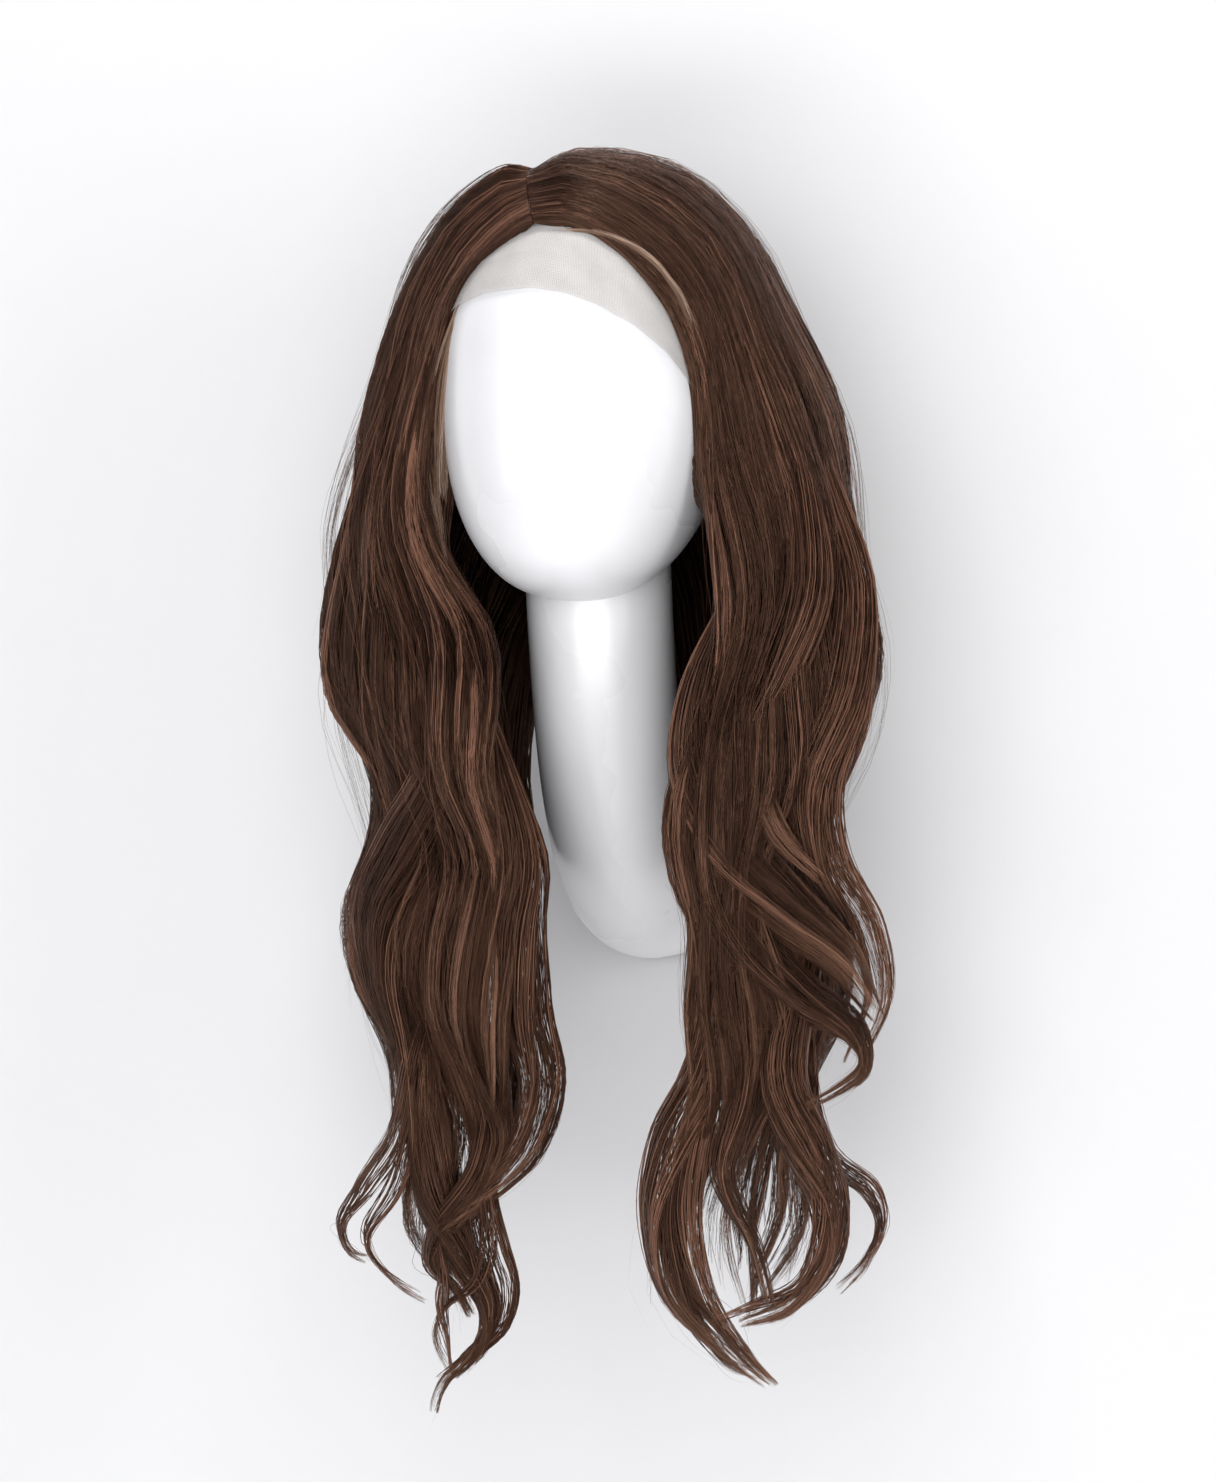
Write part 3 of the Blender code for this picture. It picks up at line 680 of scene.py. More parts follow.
# %% Guides of the right side
RIGHT_GUIDES = (
    # Along the hairline, past the temple and down the inner edge
    ((-10, 233, 349), (8, 234, 348), (26, 231, 340), (42, 227, 325), (56, 220, 304), (67, 210, 268),
     (72, 204, 228), (76, 203, 186), (75, 206, 145), (72, 208, 105), (64, 210, 65), (56, 211, 25),
     (60, 211, -15), (64, 209, -55), (70, 207, -95), (52, 205, -135), (43, 204, -175), (48, 202, -215),
     (78, 198, -243)),
    # The front of the lock that falls over the shoulder
    ((-19, 213, 371), (6, 218, 374), (38, 214, 362), (66, 207, 338), (84, 201, 306), (97, 197, 268),
     (104, 196, 228), (112, 200, 186), (117, 206, 145), (112, 210, 105), (104, 212, 65), (94, 212, 25),
     (98, 212, -15), (102, 210, -55), (93, 206, -95), (80, 202, -135), (72, 200, -175), (76, 198, -213),
     (88, 195, -240)),
    # The outline
    ((-24, 185, 382), (2, 180, 392), (48, 170, 382), (84, 160, 349), (105, 155, 307), (121, 152, 266),
     (131, 150, 226), (140, 150, 186), (146, 152, 145), (142, 154, 105), (137, 156, 65), (126, 158, 25),
     (130, 158, -15), (132, 158, -55), (122, 160, -95), (118, 164, -135), (117, 168, -173),
     (104, 172, -205), (92, 176, -225)),
    # The side of the back
    ((-20, 128, 385), (8, 118, 392), (46, 104, 372), (74, 92, 338), (92, 84, 300), (102, 80, 262),
     (108, 80, 224), (112, 84, 186), (114, 92, 145), (112, 100, 105), (108, 106, 65), (102, 112, 25),
     (104, 118, -15), (106, 124, -55), (98, 130, -95), (92, 138, -135), (94, 146, -170),
     (92, 152, -195), (88, 158, -215)),
    # The middle of the back, coming forward beside the neck
    ((-16, 86, 366), (-13, 68, 352), (-11, 54, 330), (-9, 46, 304), (-8, 42, 276), (-7, 41, 248),
     (-4, 43, 218), (3, 49, 186), (12, 57, 148), (23, 66, 108), (34, 76, 68), (49, 99, 28),
     (55, 113, -12), (62, 124, -50), (68, 132, -88), (70, 140, -122), (72, 146, -150),
     (74, 150, -172), (76, 154, -190)),
)
RIGHT_CORE = ((0, 155, 300),) * 5 + ((0, 155, 270), (30, 155, 228), (80, 150, 186), (92, 150, 145),
    (92, 152, 105), (88, 154, 65), (84, 158, 25), (86, 160, -15), (90, 162, -55), (86, 164, -95),
    (80, 168, -135), (76, 172, -173), (78, 174, -208), (84, 176, -232))
DEPTHS = (1, 6, 9, 10, 12, 16, 20, 26, 30, 30, 28, 26, 26, 25, 23, 20, 16, 11, 6)

# %% [markdown]
# The left side has the same five guides. It is not the mirror of the right one: the parting lies
# left of the middle, and this side is fuller at the temple and comes in more at the tips.

# %% Guides of the left side
LEFT_GUIDES = (
    ((-10, 233, 349), (-20, 232, 345), (-32, 229, 337), (-48, 222, 325), (-64, 211, 303),
     (-75, 205, 266), (-77, 204, 226), (-66, 207, 186), (-42, 209, 145), (-37, 209, 105),
     (-32, 210, 65), (-18, 211, 25), (-27, 211, -15), (-27, 209, -55), (-22, 207, -95),
     (-34, 205, -135), (-52, 203, -175), (-40, 200, -212), (-55, 196, -240)),
    ((-19, 213, 369), (-34, 216, 361), (-56, 212, 342), (-71, 204, 319), (-83, 199, 294),
     (-92, 196, 262), (-97, 198, 224), (-98, 204, 186), (-90, 210, 145), (-82, 212, 105),
     (-72, 213, 65), (-62, 213, 25), (-70, 213, -15), (-66, 211, -55), (-54, 208, -95),
     (-52, 205, -135), (-62, 202, -175), (-58, 199, -210), (-60, 196, -236)),
    ((-24, 185, 382), (-41, 183, 384), (-68, 174, 369), (-93, 162, 343), (-111, 156, 307),
     (-123, 152, 264), (-133, 150, 226), (-144, 150, 186), (-147, 150, 145), (-142, 152, 105),
     (-125, 154, 65), (-122, 156, 25), (-132, 158, -15), (-126, 160, -55), (-110, 164, -95),
     (-100, 170, -135), (-92, 176, -172), (-76, 180, -200), (-68, 184, -222)),
    ((-24, 128, 384), (-44, 116, 378), (-66, 102, 357), (-84, 92, 332), (-96, 85, 298),
     (-104, 82, 262), (-110, 82, 224), (-114, 86, 186), (-112, 94, 145), (-106, 102, 105),
     (-98, 108, 65), (-94, 114, 25), (-98, 120, -15), (-94, 128, -55), (-84, 138, -95),
     (-78, 148, -135), (-76, 156, -165), (-74, 162, -188), (-72, 166, -206)),
    ((-4, 86, 368), (1, 68, 354), (4, 54, 332), (6, 46, 305), (7, 42, 276), (6, 41, 248),
     (2, 43, 218), (-20, 50, 186), (-44, 66, 148), (-48, 80, 108), (-47, 94, 68), (-45, 108, 28),
     (-45, 120, -12), (-43, 132, -50), (-43, 142, -86), (-45, 150, -118), (-51, 156, -146),
     (-55, 160, -168), (-57, 164, -186)),
)
LEFT_CORE = ((0, 155, 300),) * 5 + ((0, 155, 270), (-30, 155, 228), (-80, 150, 186), (-90, 150, 145),
    (-86, 152, 105), (-78, 154, 65), (-72, 158, 25), (-74, 160, -15), (-70, 164, -55), (-60, 168, -95),
    (-60, 172, -135), (-66, 176, -173), (-60, 178, -205), (-62, 180, -228))
RIGHT = Sheet(RIGHT_GUIDES, RIGHT_CORE, DEPTHS)
LEFT = Sheet(LEFT_GUIDES, LEFT_CORE, DEPTHS)
print("guides", RIGHT.guides.shape, LEFT.guides.shape)

# %% [markdown]
# The hair is grown in layers, each its own piece: the front over the shoulder, the side that makes
# the outline, and the back. A thicker under-layer goes below each, so that no daylight shows between
# the strands, as in a real wig, where the wefts are sewn row on row. Its finish and tones are
# darkened: painted shade for the hair deep inside the wig and behind the neck.

# %% Grow the two sides
DENSITY = 1.0
UNDER_RADIUS_MM = 0.6


def grow_side(label, sheet, seed, phase, tone):
    layers = (
        ("front", (0.0, 0.30), 4, (0.80, 0.95), f"front_lock_{label}"),
        ("side", (0.27, 0.62), 5, (0.82, 0.97), f"side_lock_{label}"),
        ("back", (0.58, 1.0), 5, (0.86, 1.0), f"back_lock_{label}"),
    )
    for k, (part, across, locks, ends, node) in enumerate(layers):
        back = part == "back"
        top = groom(
            sheet, int(940 * DENSITY), seed + k, across, (0.0, 0.30), locks, 34 if back else 24,
            clump_hold=0.55 if back else 0.72, ends=ends, phase=phase, thick=1.35 if back else 1.0, tone=tone,
        )
        strands(f"hair_{part}_{label}", [top], nodes=[node])
    # The under-layer and the curtain beside the neck take the darkest tones: painted shade for the hair deep
    # inside and behind the neck.
    under = groom(
        sheet, int(700 * DENSITY), seed + 7, (0.0, 1.0), (0.3, 1.0), 12, ends=(0.68, 0.92), phase=phase,
        tone=(0.0, 0.4), points=22, dome_mm=1.0,
    )
    curtain = groom(
        sheet, int(500 * DENSITY), seed + 8, (0.44, 1.0), (0.1, 0.9), 13, ends=(0.62, 0.80), phase=phase,
        tone=(0.0, 0.2), points=16, dome_mm=1.0, clump_hold=0.2, lock_hold=0.0, wave_mm=(2, 2), thick=2.2,
        stray=0.0,
    )
    below = f"crown_hair_{label}"
    strands(f"hair_under_{label}", [under, curtain], UNDER_RADIUS_MM, nodes=[below], finish=UNDER_HAIR)


# The left side gets darker tones than the right one: painted shade on the side turned from the lamps, and
# painted light on the right.
grow_side("right", RIGHT, 100, 0.4, (0.15, 0.8))
grow_side("left", LEFT, 200, 1.8, (0.05, 0.62))

# %% [markdown]
# ## Hair: the loose locks
#
# Over that lie the locks that give this wig its look: long sweeps that cross the front of each
# side, the curls that the tips end in, and thin wisps that hang free of them. Each is a line of
# points that the camera sees, with its half widths from root to tip.

# %% Lay the locks over the sides
ROOT_SINK = 30  # mm below the surface where a lock comes out from under its neighbours


def lay_lock(line, half_widths, count, seed, out=214.0, tone=(0.3, 0.9), turns=1.6, wave_mm=(1.5, 1.5),
             clumps=16, stray=0.03):
    """Strands of one lock. A point is (across, up) mm, or also how far out, where that differs."""
    points = [seen(p[0], p[1], p[2] if len(p) > 2 else out) for p in line]
    (x, y, z), (next_x, _, next_z) = points[:2]
    root = (x - (next_x - x) * 0.6, y - ROOT_SINK, z - (next_z - z) * 0.9)
    return groom(
        lock_sheet([root, *points], (2, *half_widths)), max(6, int(count * DENSITY)), seed, locks=1,
        clumps=clumps, lock_hold=0.15, clump_hold=0.6, dome_mm=1.0, twist=0.7, wave_mm=wave_mm,
        turns=turns, tone=tone, ends=(0.97, 1.0), stray=stray,
    )


RIGHT_SWEEPS = (
    ([(76, 160, 194), (57, 108), (53, 62), (70, 20), (98, -8), (126, -30), (145, -58)],
     (9, 18, 21, 19, 12, 3), 370),
    ([(62, 100, 198), (48, 52), (53, 12), (74, -24), (104, -48), (132, -66), (137, -86), (110, -104)],
     (8, 15, 17, 14, 9, 5, 1), 300),
    ([(116, 225, 170), (130, 165, 184), (126, 110, 196), (110, 62, 206), (116, 20, 204), (138, -14, 190),
      (146, -50, 184), (132, -84, 188)], (12, 15, 14, 10, 3), 240),
    ([(86, 280, 184), (102, 215, 196), (106, 162, 210), (92, 118, 216), (80, 80, 214), (92, 40, 212),
      (120, 12, 206)],
     (10, 14, 13, 10, 3), 220),
)
RIGHT_CURLS = (
    ([(68, -10, 204), (57, -81), (39, -123), (31, -161), (39, -198), (63, -224), (92, -248)],
     (9, 14, 12, 8, 2), 270),
    ([(108, -30, 200), (95, -86), (105, -123), (118, -155), (118, -182), (100, -206), (76, -214)],
     (11, 14, 10, 5, 1), 270),
    ([(80, -60, 204), (74, -100), (66, -140), (84, -176), (92, -208)], (7, 9, 5, 2), 100),
    ([(110, -80, 190), (120, -128, 172), (143, -150, 164), (150, -169, 162), (142, -190, 164),
      (127, -203, 168)],
     (6, 5, 3, 1), 60),
    ([(58, -110, 206), (48, -160), (56, -200), (80, -232), (94, -246)], (6, 8, 5, 1), 90),
    ([(50, -120, 206), (41, -165), (46, -205), (66, -232), (86, -240)], (5, 6, 4, 1), 60),
    ([(112, -120, 206), (118, -160), (108, -192), (84, -206), (62, -216)], (6, 6, 4, 1), 60),
)
LEFT_SWEEPS = (
    ([(-92, 130, 192), (-82, 74), (-100, 30), (-116, -6), (-112, -42), (-98, -78), (-92, -112), (-92, -136)],
     (10, 20, 21, 17, 12, 4), 360),
    ([(-68, 120, 194), (-52, 62), (-41, 20), (-43, -17), (-40, -60), (-31, -96), (-38, -130), (-58, -153),
      (-82, -172)],
     (9, 14, 15, 14, 10, 3), 300),
    ([(-98, 275, 178), (-111, 212, 190), (-113, 162, 204), (-97, 118, 213), (-79, 80, 213), (-84, 36, 211)],
     (6, 12, 15, 12, 5), 230),
    ([(-88, -10, 205), (-78, -62), (-59, -97), (-49, -123), (-60, -150)], (7, 10, 8, 3), 110),
)
LEFT_CURLS = (
    ([(-100, -60, 200), (-90, -118), (-86, -158), (-70, -190), (-56, -212), (-58, -232), (-72, -247)],
     (11, 13, 9, 5, 1), 300),
    ([(-52, -90, 196), (-58, -140), (-80, -172), (-84, -190), (-70, -202), (-62, -216)],
     (9, 8, 7, 4, 1), 190),
    ([(-58, -140, 208), (-54, -172), (-60, -197), (-76, -211), (-80, -227), (-72, -245)],
     (5, 4, 3, 2, 1), 40),
    ([(-56, -150, 208), (-50, -180), (-45, -200), (-49, -221), (-61, -235), (-77, -252), (-83, -266)],
     (6, 5, 4, 2, 1), 60),
    ([(-80, -170, 208), (-77, -196), (-79, -215), (-75, -232), (-71, -246)], (4, 3, 2, 1), 30),
    ([(-64, -160, 208), (-58, -190), (-53, -211), (-59, -229), (-70, -243), (-80, -250)], (5, 4, 3, 1), 40),
    ([(-94, -80), (-102, -123), (-120, -150), (-132, -169), (-127, -182), (-117, -188)], (6, 5, 3, 1), 60),
    ([(-92, -90), (-95, -123), (-104, -150), (-118, -171), (-117, -184), (-102, -198), (-86, -208)],
     (5, 4, 2, 1), 40),
)
# The locks on the right get lighter tones than those on the left: painted highlight on the right and painted
# shade on the left.
for name, group, seed, tone in (
    ("hair_sweeps_right", RIGHT_SWEEPS, 300, (0.35, 1.0)),
    ("hair_curls_right", RIGHT_CURLS, 320, (0.4, 1.0)),
    ("hair_sweeps_left", LEFT_SWEEPS, 340, (0.15, 0.85)),
    ("hair_curls_left", LEFT_CURLS, 360, (0.25, 0.9)),
):
    laid = [lay_lock(*lock, seed + k, tone=tone) for k, lock in enumerate(group)]
    strands(name, laid)

# %% [markdown]
# Fine hairs stand off every wig. A few float just outside the outline. At the edge of the lace the
# hairs are single, short and pale, because their knots are bleached to hide them, and they form a
# light rim between the lace and the dark hair.

# %% Flyaways and the pale rim
flyaways = []
for sheet, seed in ((RIGHT, 400), (LEFT, 410)):
    for k, (across, count) in enumerate((((0.22, 0.62), 110), ((0.0, 0.3), 40))):
        flyaways.append(
            groom(sheet, count, seed + k, across, (-0.35, 0.0), 9, 8, clump_hold=0.2, dome_mm=2.0,
                  ends=(0.35, 1.0), tone=(0.3, 0.8), stray=1.0, thick=0.9)
        )
strands("hair_flyaways", flyaways, 0.22)


def rim_sheet(line, half_widths):
    """A nearly flat lock along a line of (across, up, out) mm."""
    return lock_sheet([seen(*point) for point in line], half_widths, 0.2)


LEFT_RIM = ((-60, 326, 221), (-71, 300, 215), (-78, 274, 209), (-82, 247, 206), (-82, 221, 206),
            (-78, 196, 207), (-73, 172, 207))
RIGHT_RIM = ((-22, 344, 231), (2, 343, 232), (25, 333, 230), (41, 316, 226), (52, 294, 219),
             (59, 268, 210), (61, 244, 204))
rims = [
    groom(rim_sheet(LEFT_RIM, (1, 3, 5, 6, 6, 4, 2)), 130, 430, locks=2, clumps=9, clump_hold=0.4,
          dome_mm=0.5, twist=0.2, wave_mm=(0.8, 0.4), turns=1.5, ends=(0.7, 1.0), stray=0.05),
    groom(rim_sheet(RIGHT_RIM, (0.5, 1.0, 1.4, 1.6, 2, 2, 1)), 36, 431, locks=1, clumps=9, clump_hold=0.3,
          dome_mm=0.3, twist=0.2, wave_mm=(0.4, 0.3), turns=1.5, ends=(0.6, 1.0), stray=0.05),
]
strands("hair_lace_rim", rims, 0.17, 0.5, finish=PALE_HAIR)

# %% [markdown]
# ## The lace front
#
# The front of the wig is a fine lace that is almost the colour of what lies under it. It covers
# the forehead down to an edge that was cut roughly, and runs on under the first hair, which is
# knotted into it. It is stretched over the head, so it can be laid straight on the head's own
# form: rows of points between a lower edge and the hairline, with a little thickness.

# %% Lace
LACE_CELL_MM = 0.9  # real lace has cells of about 0.5 mm, too fine to show


def make_lace():
    material, tree = new_material("swiss_lace")
    across = add(tree, "ShaderNodeUVMap", uv_map="cloth").outputs["UV"]
    cells = add(tree, "ShaderNodeTexVoronoi",
                {"Vector": across, "Scale": 1 / LACE_CELL_MM, "Randomness": 0.15},
                voronoi_dimensions="2D", feature="DISTANCE_TO_EDGE")
    distance = cells.outputs["Distance"]
    thread = add(tree, "ShaderNodeMapRange",
                 {"Value": distance, "From Min": 0.06, "From Max": 0.16, "To Min": 0.75, "To Max": 0.30})
    shade = add(tree, "ShaderNodeTexNoise", {"Vector": across, "Scale": 0.06, "Detail": 3.0})
    colours = ((0.3, "#cac6c3"), (0.7, "#d7d4d1"))
    colour = add(tree, "ShaderNodeValToRGB", {"Fac": shade.outputs["Fac"]}, colours).outputs["Color"]
    lace = add(tree, "ShaderNodeBsdfPrincipled",
               {"Base Color": colour, "Roughness": 0.75, "Alpha": thread.outputs["Result"]})
    add(tree, "ShaderNodeOutputMaterial", {"Surface": lace.outputs["BSDF"]})
    return material


LACE = make_lace()
LACE_THICK = 0.00035


def distances(points):
    """How far along a line of points each of them lies."""
    steps = [(b - a).length for a, b in zip(points, points[1:])]
    return [sum(steps[:k]) for k in range(len(points))]


def cloth_solid(name, rows, material, thick=LACE_THICK):
    """A thin closed cloth over rows of (outer point, outward direction), with its UV map in mm."""
    bm = bmesh.new()
    uv = bm.loops.layers.uv.new("cloth")
    outer = [[bm.verts.new(point) for point, _ in row] for row in rows]
    inner = [[bm.verts.new(point - normal * thick) for point, normal in row] for row in rows]
    high, wide = len(rows), len(rows[0])
    for i in range(high - 1):
        for j in range(wide - 1):
            bm.faces.new((outer[i][j], outer[i][j + 1], outer[i + 1][j + 1], outer[i + 1][j]))
            bm.faces.new((inner[i][j], inner[i + 1][j], inner[i + 1][j + 1], inner[i][j + 1]))
    rim = [(0, j) for j in range(wide)] + [(i, wide - 1) for i in range(1, high)]
    rim += [(high - 1, j) for j in range(wide - 2, -1, -1)] + [(i, 0) for i in range(high - 2, 0, -1)]
    for (a, b), (c, d) in zip(rim, rim[1:] + rim[:1]):
        bm.faces.new((outer[a][b], inner[a][b], inner[c][d], outer[c][d]))
    row_at = distances([row[wide // 2][0] for row in rows])
    column_at = distances([point for point, _ in rows[high // 2]])
    place = {}
    for i in range(high):
        for j in range(wide):
            place[outer[i][j]] = place[inner[i][j]] = (column_at[j] / MM, row_at[i] / MM)
    for face in bm.faces:
        for loop in face.loops:
            loop[uv].uv = place[loop.vert]
    mesh = mesh_of(name, bm)
    mesh.materials.append(material)
    mesh.shade_smooth()
    mesh.set_sharp_from_angle(angle=math.radians(60))
    return object_of(name, mesh)


def skin_rows(angles, lows, highs, count_across, count_up, grow, ripple=None):
    """Rows on the head between two edges, given as heights in mm at angles in degrees round it."""
    rows = []
    for i in range(count_up + 1):
        row = []
        for j in range(count_across + 1):
            share = j / count_across
            degrees = angles[0] + (angles[-1] - angles[0]) * share
            low, high = np.interp(degrees, angles, lows), np.interp(degrees, angles, highs)
            z = (low + (high - low) * i / count_up) * MM
            lift = grow + (ripple(degrees, i / count_up) if ripple else 0.0)
            point = on_head_at(math.radians(degrees), z, lift)
            row.append((point, (point - Vector((0, CRANIUM_Y, WIDEST_Z - 0.02))).normalized()))
        rows.append(row)
    return rows


LACE_ANGLES = (-72, -62, -50, -28, -6, 8, 20, 34, 47, 60, 68, 74)
LACE_LOWS = (296, 303, 308, 313, 314, 311, 305, 295, 282, 264, 240, 226)
LACE_HIGHS = (318, 326, 336, 350, 362, 360, 352, 343, 332, 300, 272, 258)


def lace_ripple(degrees, up):
    """The small folds that run from the hairline towards the right temple, and a curled edge."""
    folds = 0.0005 * math.exp(-(((degrees - 30) / 16) ** 2)) * math.cos(up * 11 - degrees * 0.22)
    from_crease = (up - 0.42 + degrees * 0.004) / 0.05
    crease = 0.0007 * math.exp(-(from_crease**2)) * math.exp(-((degrees / 34) ** 2))
    return max(folds, -0.0003) + crease + 0.0007 * math.exp(-up * 30)


lace_front = cloth_solid(
    "lace_front_panel", skin_rows(LACE_ANGLES, LACE_LOWS, LACE_HIGHS, 150, 48, 0.0009, lace_ripple), LACE
)
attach(lace_front, "wig")
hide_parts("lace_front")

# %% [markdown]
# ## The cap under the hair
#
# The hair hides the cap until the wig is lifted off. A stretch net covers the crown, elastic
# closes it at the nape, and two straps tighten it. Each is laid on the head's own form, so that
# it fits it as a stretched cap does.

# %% Net, elastic and foam
NET_CELL_MM, FOAM_CELL_MM = 1.6, 0.6


def make_net():
    material, tree = new_material("stretch_net_brown")
    place = add(tree, "ShaderNodeTexCoord").outputs["Object"]
    cells = add(tree, "ShaderNodeTexVoronoi",
                {"Vector": place, "Scale": 1 / (NET_CELL_MM * MM), "Randomness": 0.3},
                feature="DISTANCE_TO_EDGE")
    colours = ((0.05, "#2c211c"), (0.22, "#120d0b"))
    colour = add(tree, "ShaderNodeValToRGB", {"Fac": cells.outputs["Distance"]}, colours).outputs["Color"]
    height = {"Height": cells.outputs["Distance"], "Strength": 0.6, "Distance": 0.0004}
    bump = add(tree, "ShaderNodeBump", height)
    bump.invert = True
    normal = bump.outputs["Normal"]
    net = add(tree, "ShaderNodeBsdfPrincipled",
              {"Base Color": colour, "Roughness": 0.7, "Sheen Weight": 0.15, "Normal": normal})
    add(tree, "ShaderNodeOutputMaterial", {"Surface": net.outputs["BSDF"]})
    return material


def make_elastic():
    material, tree = new_material("woven_elastic_black")
    along = add(tree, "ShaderNodeUVMap", uv_map="cloth").outputs["UV"]
    ribs = add(tree, "ShaderNodeTexWave", {"Vector": along, "Scale": 0.35, "Distortion": 0.4, "Detail": 1.0},
               bands_direction="X")
    cords = add(tree, "ShaderNodeTexWave", {"Vector": along, "Scale": 0.25, "Distortion": 0.2},
                bands_direction="Y")
    weave = add(tree, "ShaderNodeMath", {0: ribs.outputs["Fac"], 1: cords.outputs["Fac"]}, operation="ADD")
    half = add(tree, "ShaderNodeMath", {0: weave.outputs[0], 1: 0.5}, operation="MULTIPLY")
    colours = ((0.2, "#100d0c"), (0.8, "#322a27"))
    colour = add(tree, "ShaderNodeValToRGB", {"Fac": half.outputs[0]}, colours).outputs["Color"]
    bump = add(tree, "ShaderNodeBump", {"Height": half.outputs[0], "Strength": 0.5, "Distance": 0.0003})
    normal = bump.outputs["Normal"]
    web = add(tree, "ShaderNodeBsdfPrincipled",
              {"Base Color": colour, "Roughness": 0.65, "Sheen Weight": 0.2, "Normal": normal})
    add(tree, "ShaderNodeOutputMaterial", {"Surface": web.outputs["BSDF"]})
    return material


def make_foam():
    material, tree = new_material("closed_cell_foam_black")
    place = add(tree, "ShaderNodeTexCoord").outputs["Object"]
    cells = add(tree, "ShaderNodeTexVoronoi", {"Vector": place, "Scale": 1 / (FOAM_CELL_MM * MM)})
    colours = ((0.1, "#1b1b1c"), (0.7, "#2c2c2e"))
    colour = add(tree, "ShaderNodeValToRGB", {"Fac": cells.outputs["Distance"]}, colours).outputs["Color"]
    height = {"Height": cells.outputs["Distance"], "Strength": 0.4, "Distance": 0.0002}
    bump = add(tree, "ShaderNodeBump", height)
    foam = add(tree, "ShaderNodeBsdfPrincipled",
               {"Base Color": colour, "Roughness": 0.85, "Normal": bump.outputs["Normal"]})
    add(tree, "ShaderNodeOutputMaterial", {"Surface": foam.outputs["BSDF"]})
    return material


NET, ELASTIC, FOAM = make_net(), make_elastic(), make_foam()
NET_ANGLES = (70, 78, 86, 96, 108, 122, 140, 180, 220, 238, 252, 264, 274, 282, 290)
NET_LOWS = (330, 290, 266, 259, 257, 247, 236, 224, 236, 247, 257, 259, 266, 290, 330)

NET_STEPS_UP, NET_STEPS_ROUND = 40, 120
BAND_THICK = 0.0010
BAND_LOW, BAND_HIGH = 212.5, 219.5


def make_crown_net():
    """The net runs over the crown: rows go up each meridian to the top of the head."""
    rows = []
    for i in range(NET_STEPS_UP + 1):
        row = []
        for j in range(NET_STEPS_ROUND + 1):
            degrees = NET_ANGLES[0] + (NET_ANGLES[-1] - NET_ANGLES[0]) * j / NET_STEPS_ROUND
            foot = np.interp(degrees, NET_ANGLES, NET_LOWS) * MM
            rise = CROWN_Z - WIDEST_Z if foot >= WIDEST_Z else WIDEST_Z - CHIN_Z
            tilt = math.asin((foot - WIDEST_Z) / rise)
            up = tilt + (math.radians(87) - tilt) * i / NET_STEPS_UP
            angle = math.radians(degrees)
            level = math.cos(up)
            direction = Vector((level * math.sin(angle), -level * math.cos(angle), math.sin(up)))
            point = on_head(direction, 0.0022)
            row.append((point, (point - Vector((0, CRANIUM_Y, WIDEST_Z))).normalized()))
        rows.append(row)
    return cloth_solid("crown_net_cap", rows, NET, 0.0008)


def wig_piece(piece, node):
    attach(piece, "wig")
    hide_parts(node)
    return piece


wig_piece(make_crown_net(), "crown_net")
for name, angles, low, high, flat in (
    ("nape_band", (128, 232), 210.0, 217.0, (0.120, 0.0102)),
    ("strap_left", (-120, -94), BAND_LOW, BAND_HIGH, (0.033, 0.0102)),
    ("strap_right", (94, 120), BAND_LOW, BAND_HIGH, (0.033, 0.0102)),
):
    rows = skin_rows(angles, (low, low), (high, high), 60, 6, 0.0021)
    wig_piece(cloth_solid(name + "_elastic", rows, ELASTIC, BAND_THICK), name)
for name, angles in (("left", (-121, -103)), ("right", (103, 121))):
    rows = skin_rows(angles, (238, 238), (258, 258), 24, 20, 0.0030)
    tab = cloth_solid(f"ear_tab_{name}_elastic", rows, ELASTIC, BAND_THICK)
    wig_piece(tab, f"ear_tab_{name}")


def make_foam_ring():
    """A lathed ring with rounded corners, swelling a little between its two faces."""
    inner, outer = 0.0362, 0.0387
    front, back = NECK_END_Y + 0.0006, -0.0003
    sides, steps = 20, 96
    profile = []
    for k in range(sides):
        angle = 2 * math.pi * k / sides
        wide, deep = (math.copysign(abs(f) ** 0.45, f) for f in (math.cos(angle), math.sin(angle)))
        radius = (inner + outer) / 2 + wide * (outer - inner) / 2
        profile.append((radius, (front + back) / 2 + deep * (back - front) / 2))
    bm = bmesh.new()
    rings = []
    for i in range(steps):
        turn = 2 * math.pi * i / steps
        rings.append([bm.verts.new((r * math.cos(turn), y, r * math.sin(turn))) for r, y in profile])
    for ring, following in zip(rings, rings[1:] + rings[:1]):
        for k in range(sides):
            j = (k + 1) % sides
            bm.faces.new((ring[k], ring[j], following[j], following[k]))
    mesh = mesh_of("foam_ring", bm)
    mesh.materials.append(FOAM)
    mesh.shade_smooth()
    return object_of("foam_ring", mesh)


foam_ring = make_foam_ring()
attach(foam_ring, "head")
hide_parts("wall_pad")

# %% [markdown]
# ## What stays as CAD
#
# The hanger, the plug, the combs and the weft rows have their right shape already, so they keep
# it, and get the finish of the real thing: zinc-plated steel that was stamped and turned, birch
# plywood with its plies, moulded nylon combs and sewn thread.

# %% Finishes of the kept CAD nodes
def make_zinc():
    material, tree = new_material("zinc_plated_steel")
    place = add(tree, "ShaderNodeTexCoord").outputs["Object"]
    spangle = add(tree, "ShaderNodeTexNoise", {"Vector": place, "Scale": 260.0, "Detail": 3.0})
    colours = ((0.3, "#a9abad"), (0.7, "#c9cbcc"))
    colour = add(tree, "ShaderNodeValToRGB", {"Fac": spangle.outputs["Fac"]}, colours).outputs["Color"]
    rough = add(tree, "ShaderNodeMapRange", {"Value": spangle.outputs["Fac"], "To Min": 0.28, "To Max": 0.48})
    zinc = add(tree, "ShaderNodeBsdfPrincipled",
               {"Base Color": colour, "Metallic": 1.0, "Roughness": rough.outputs["Result"]})
    add(tree, "ShaderNodeOutputMaterial", {"Surface": zinc.outputs["BSDF"]})
    return material


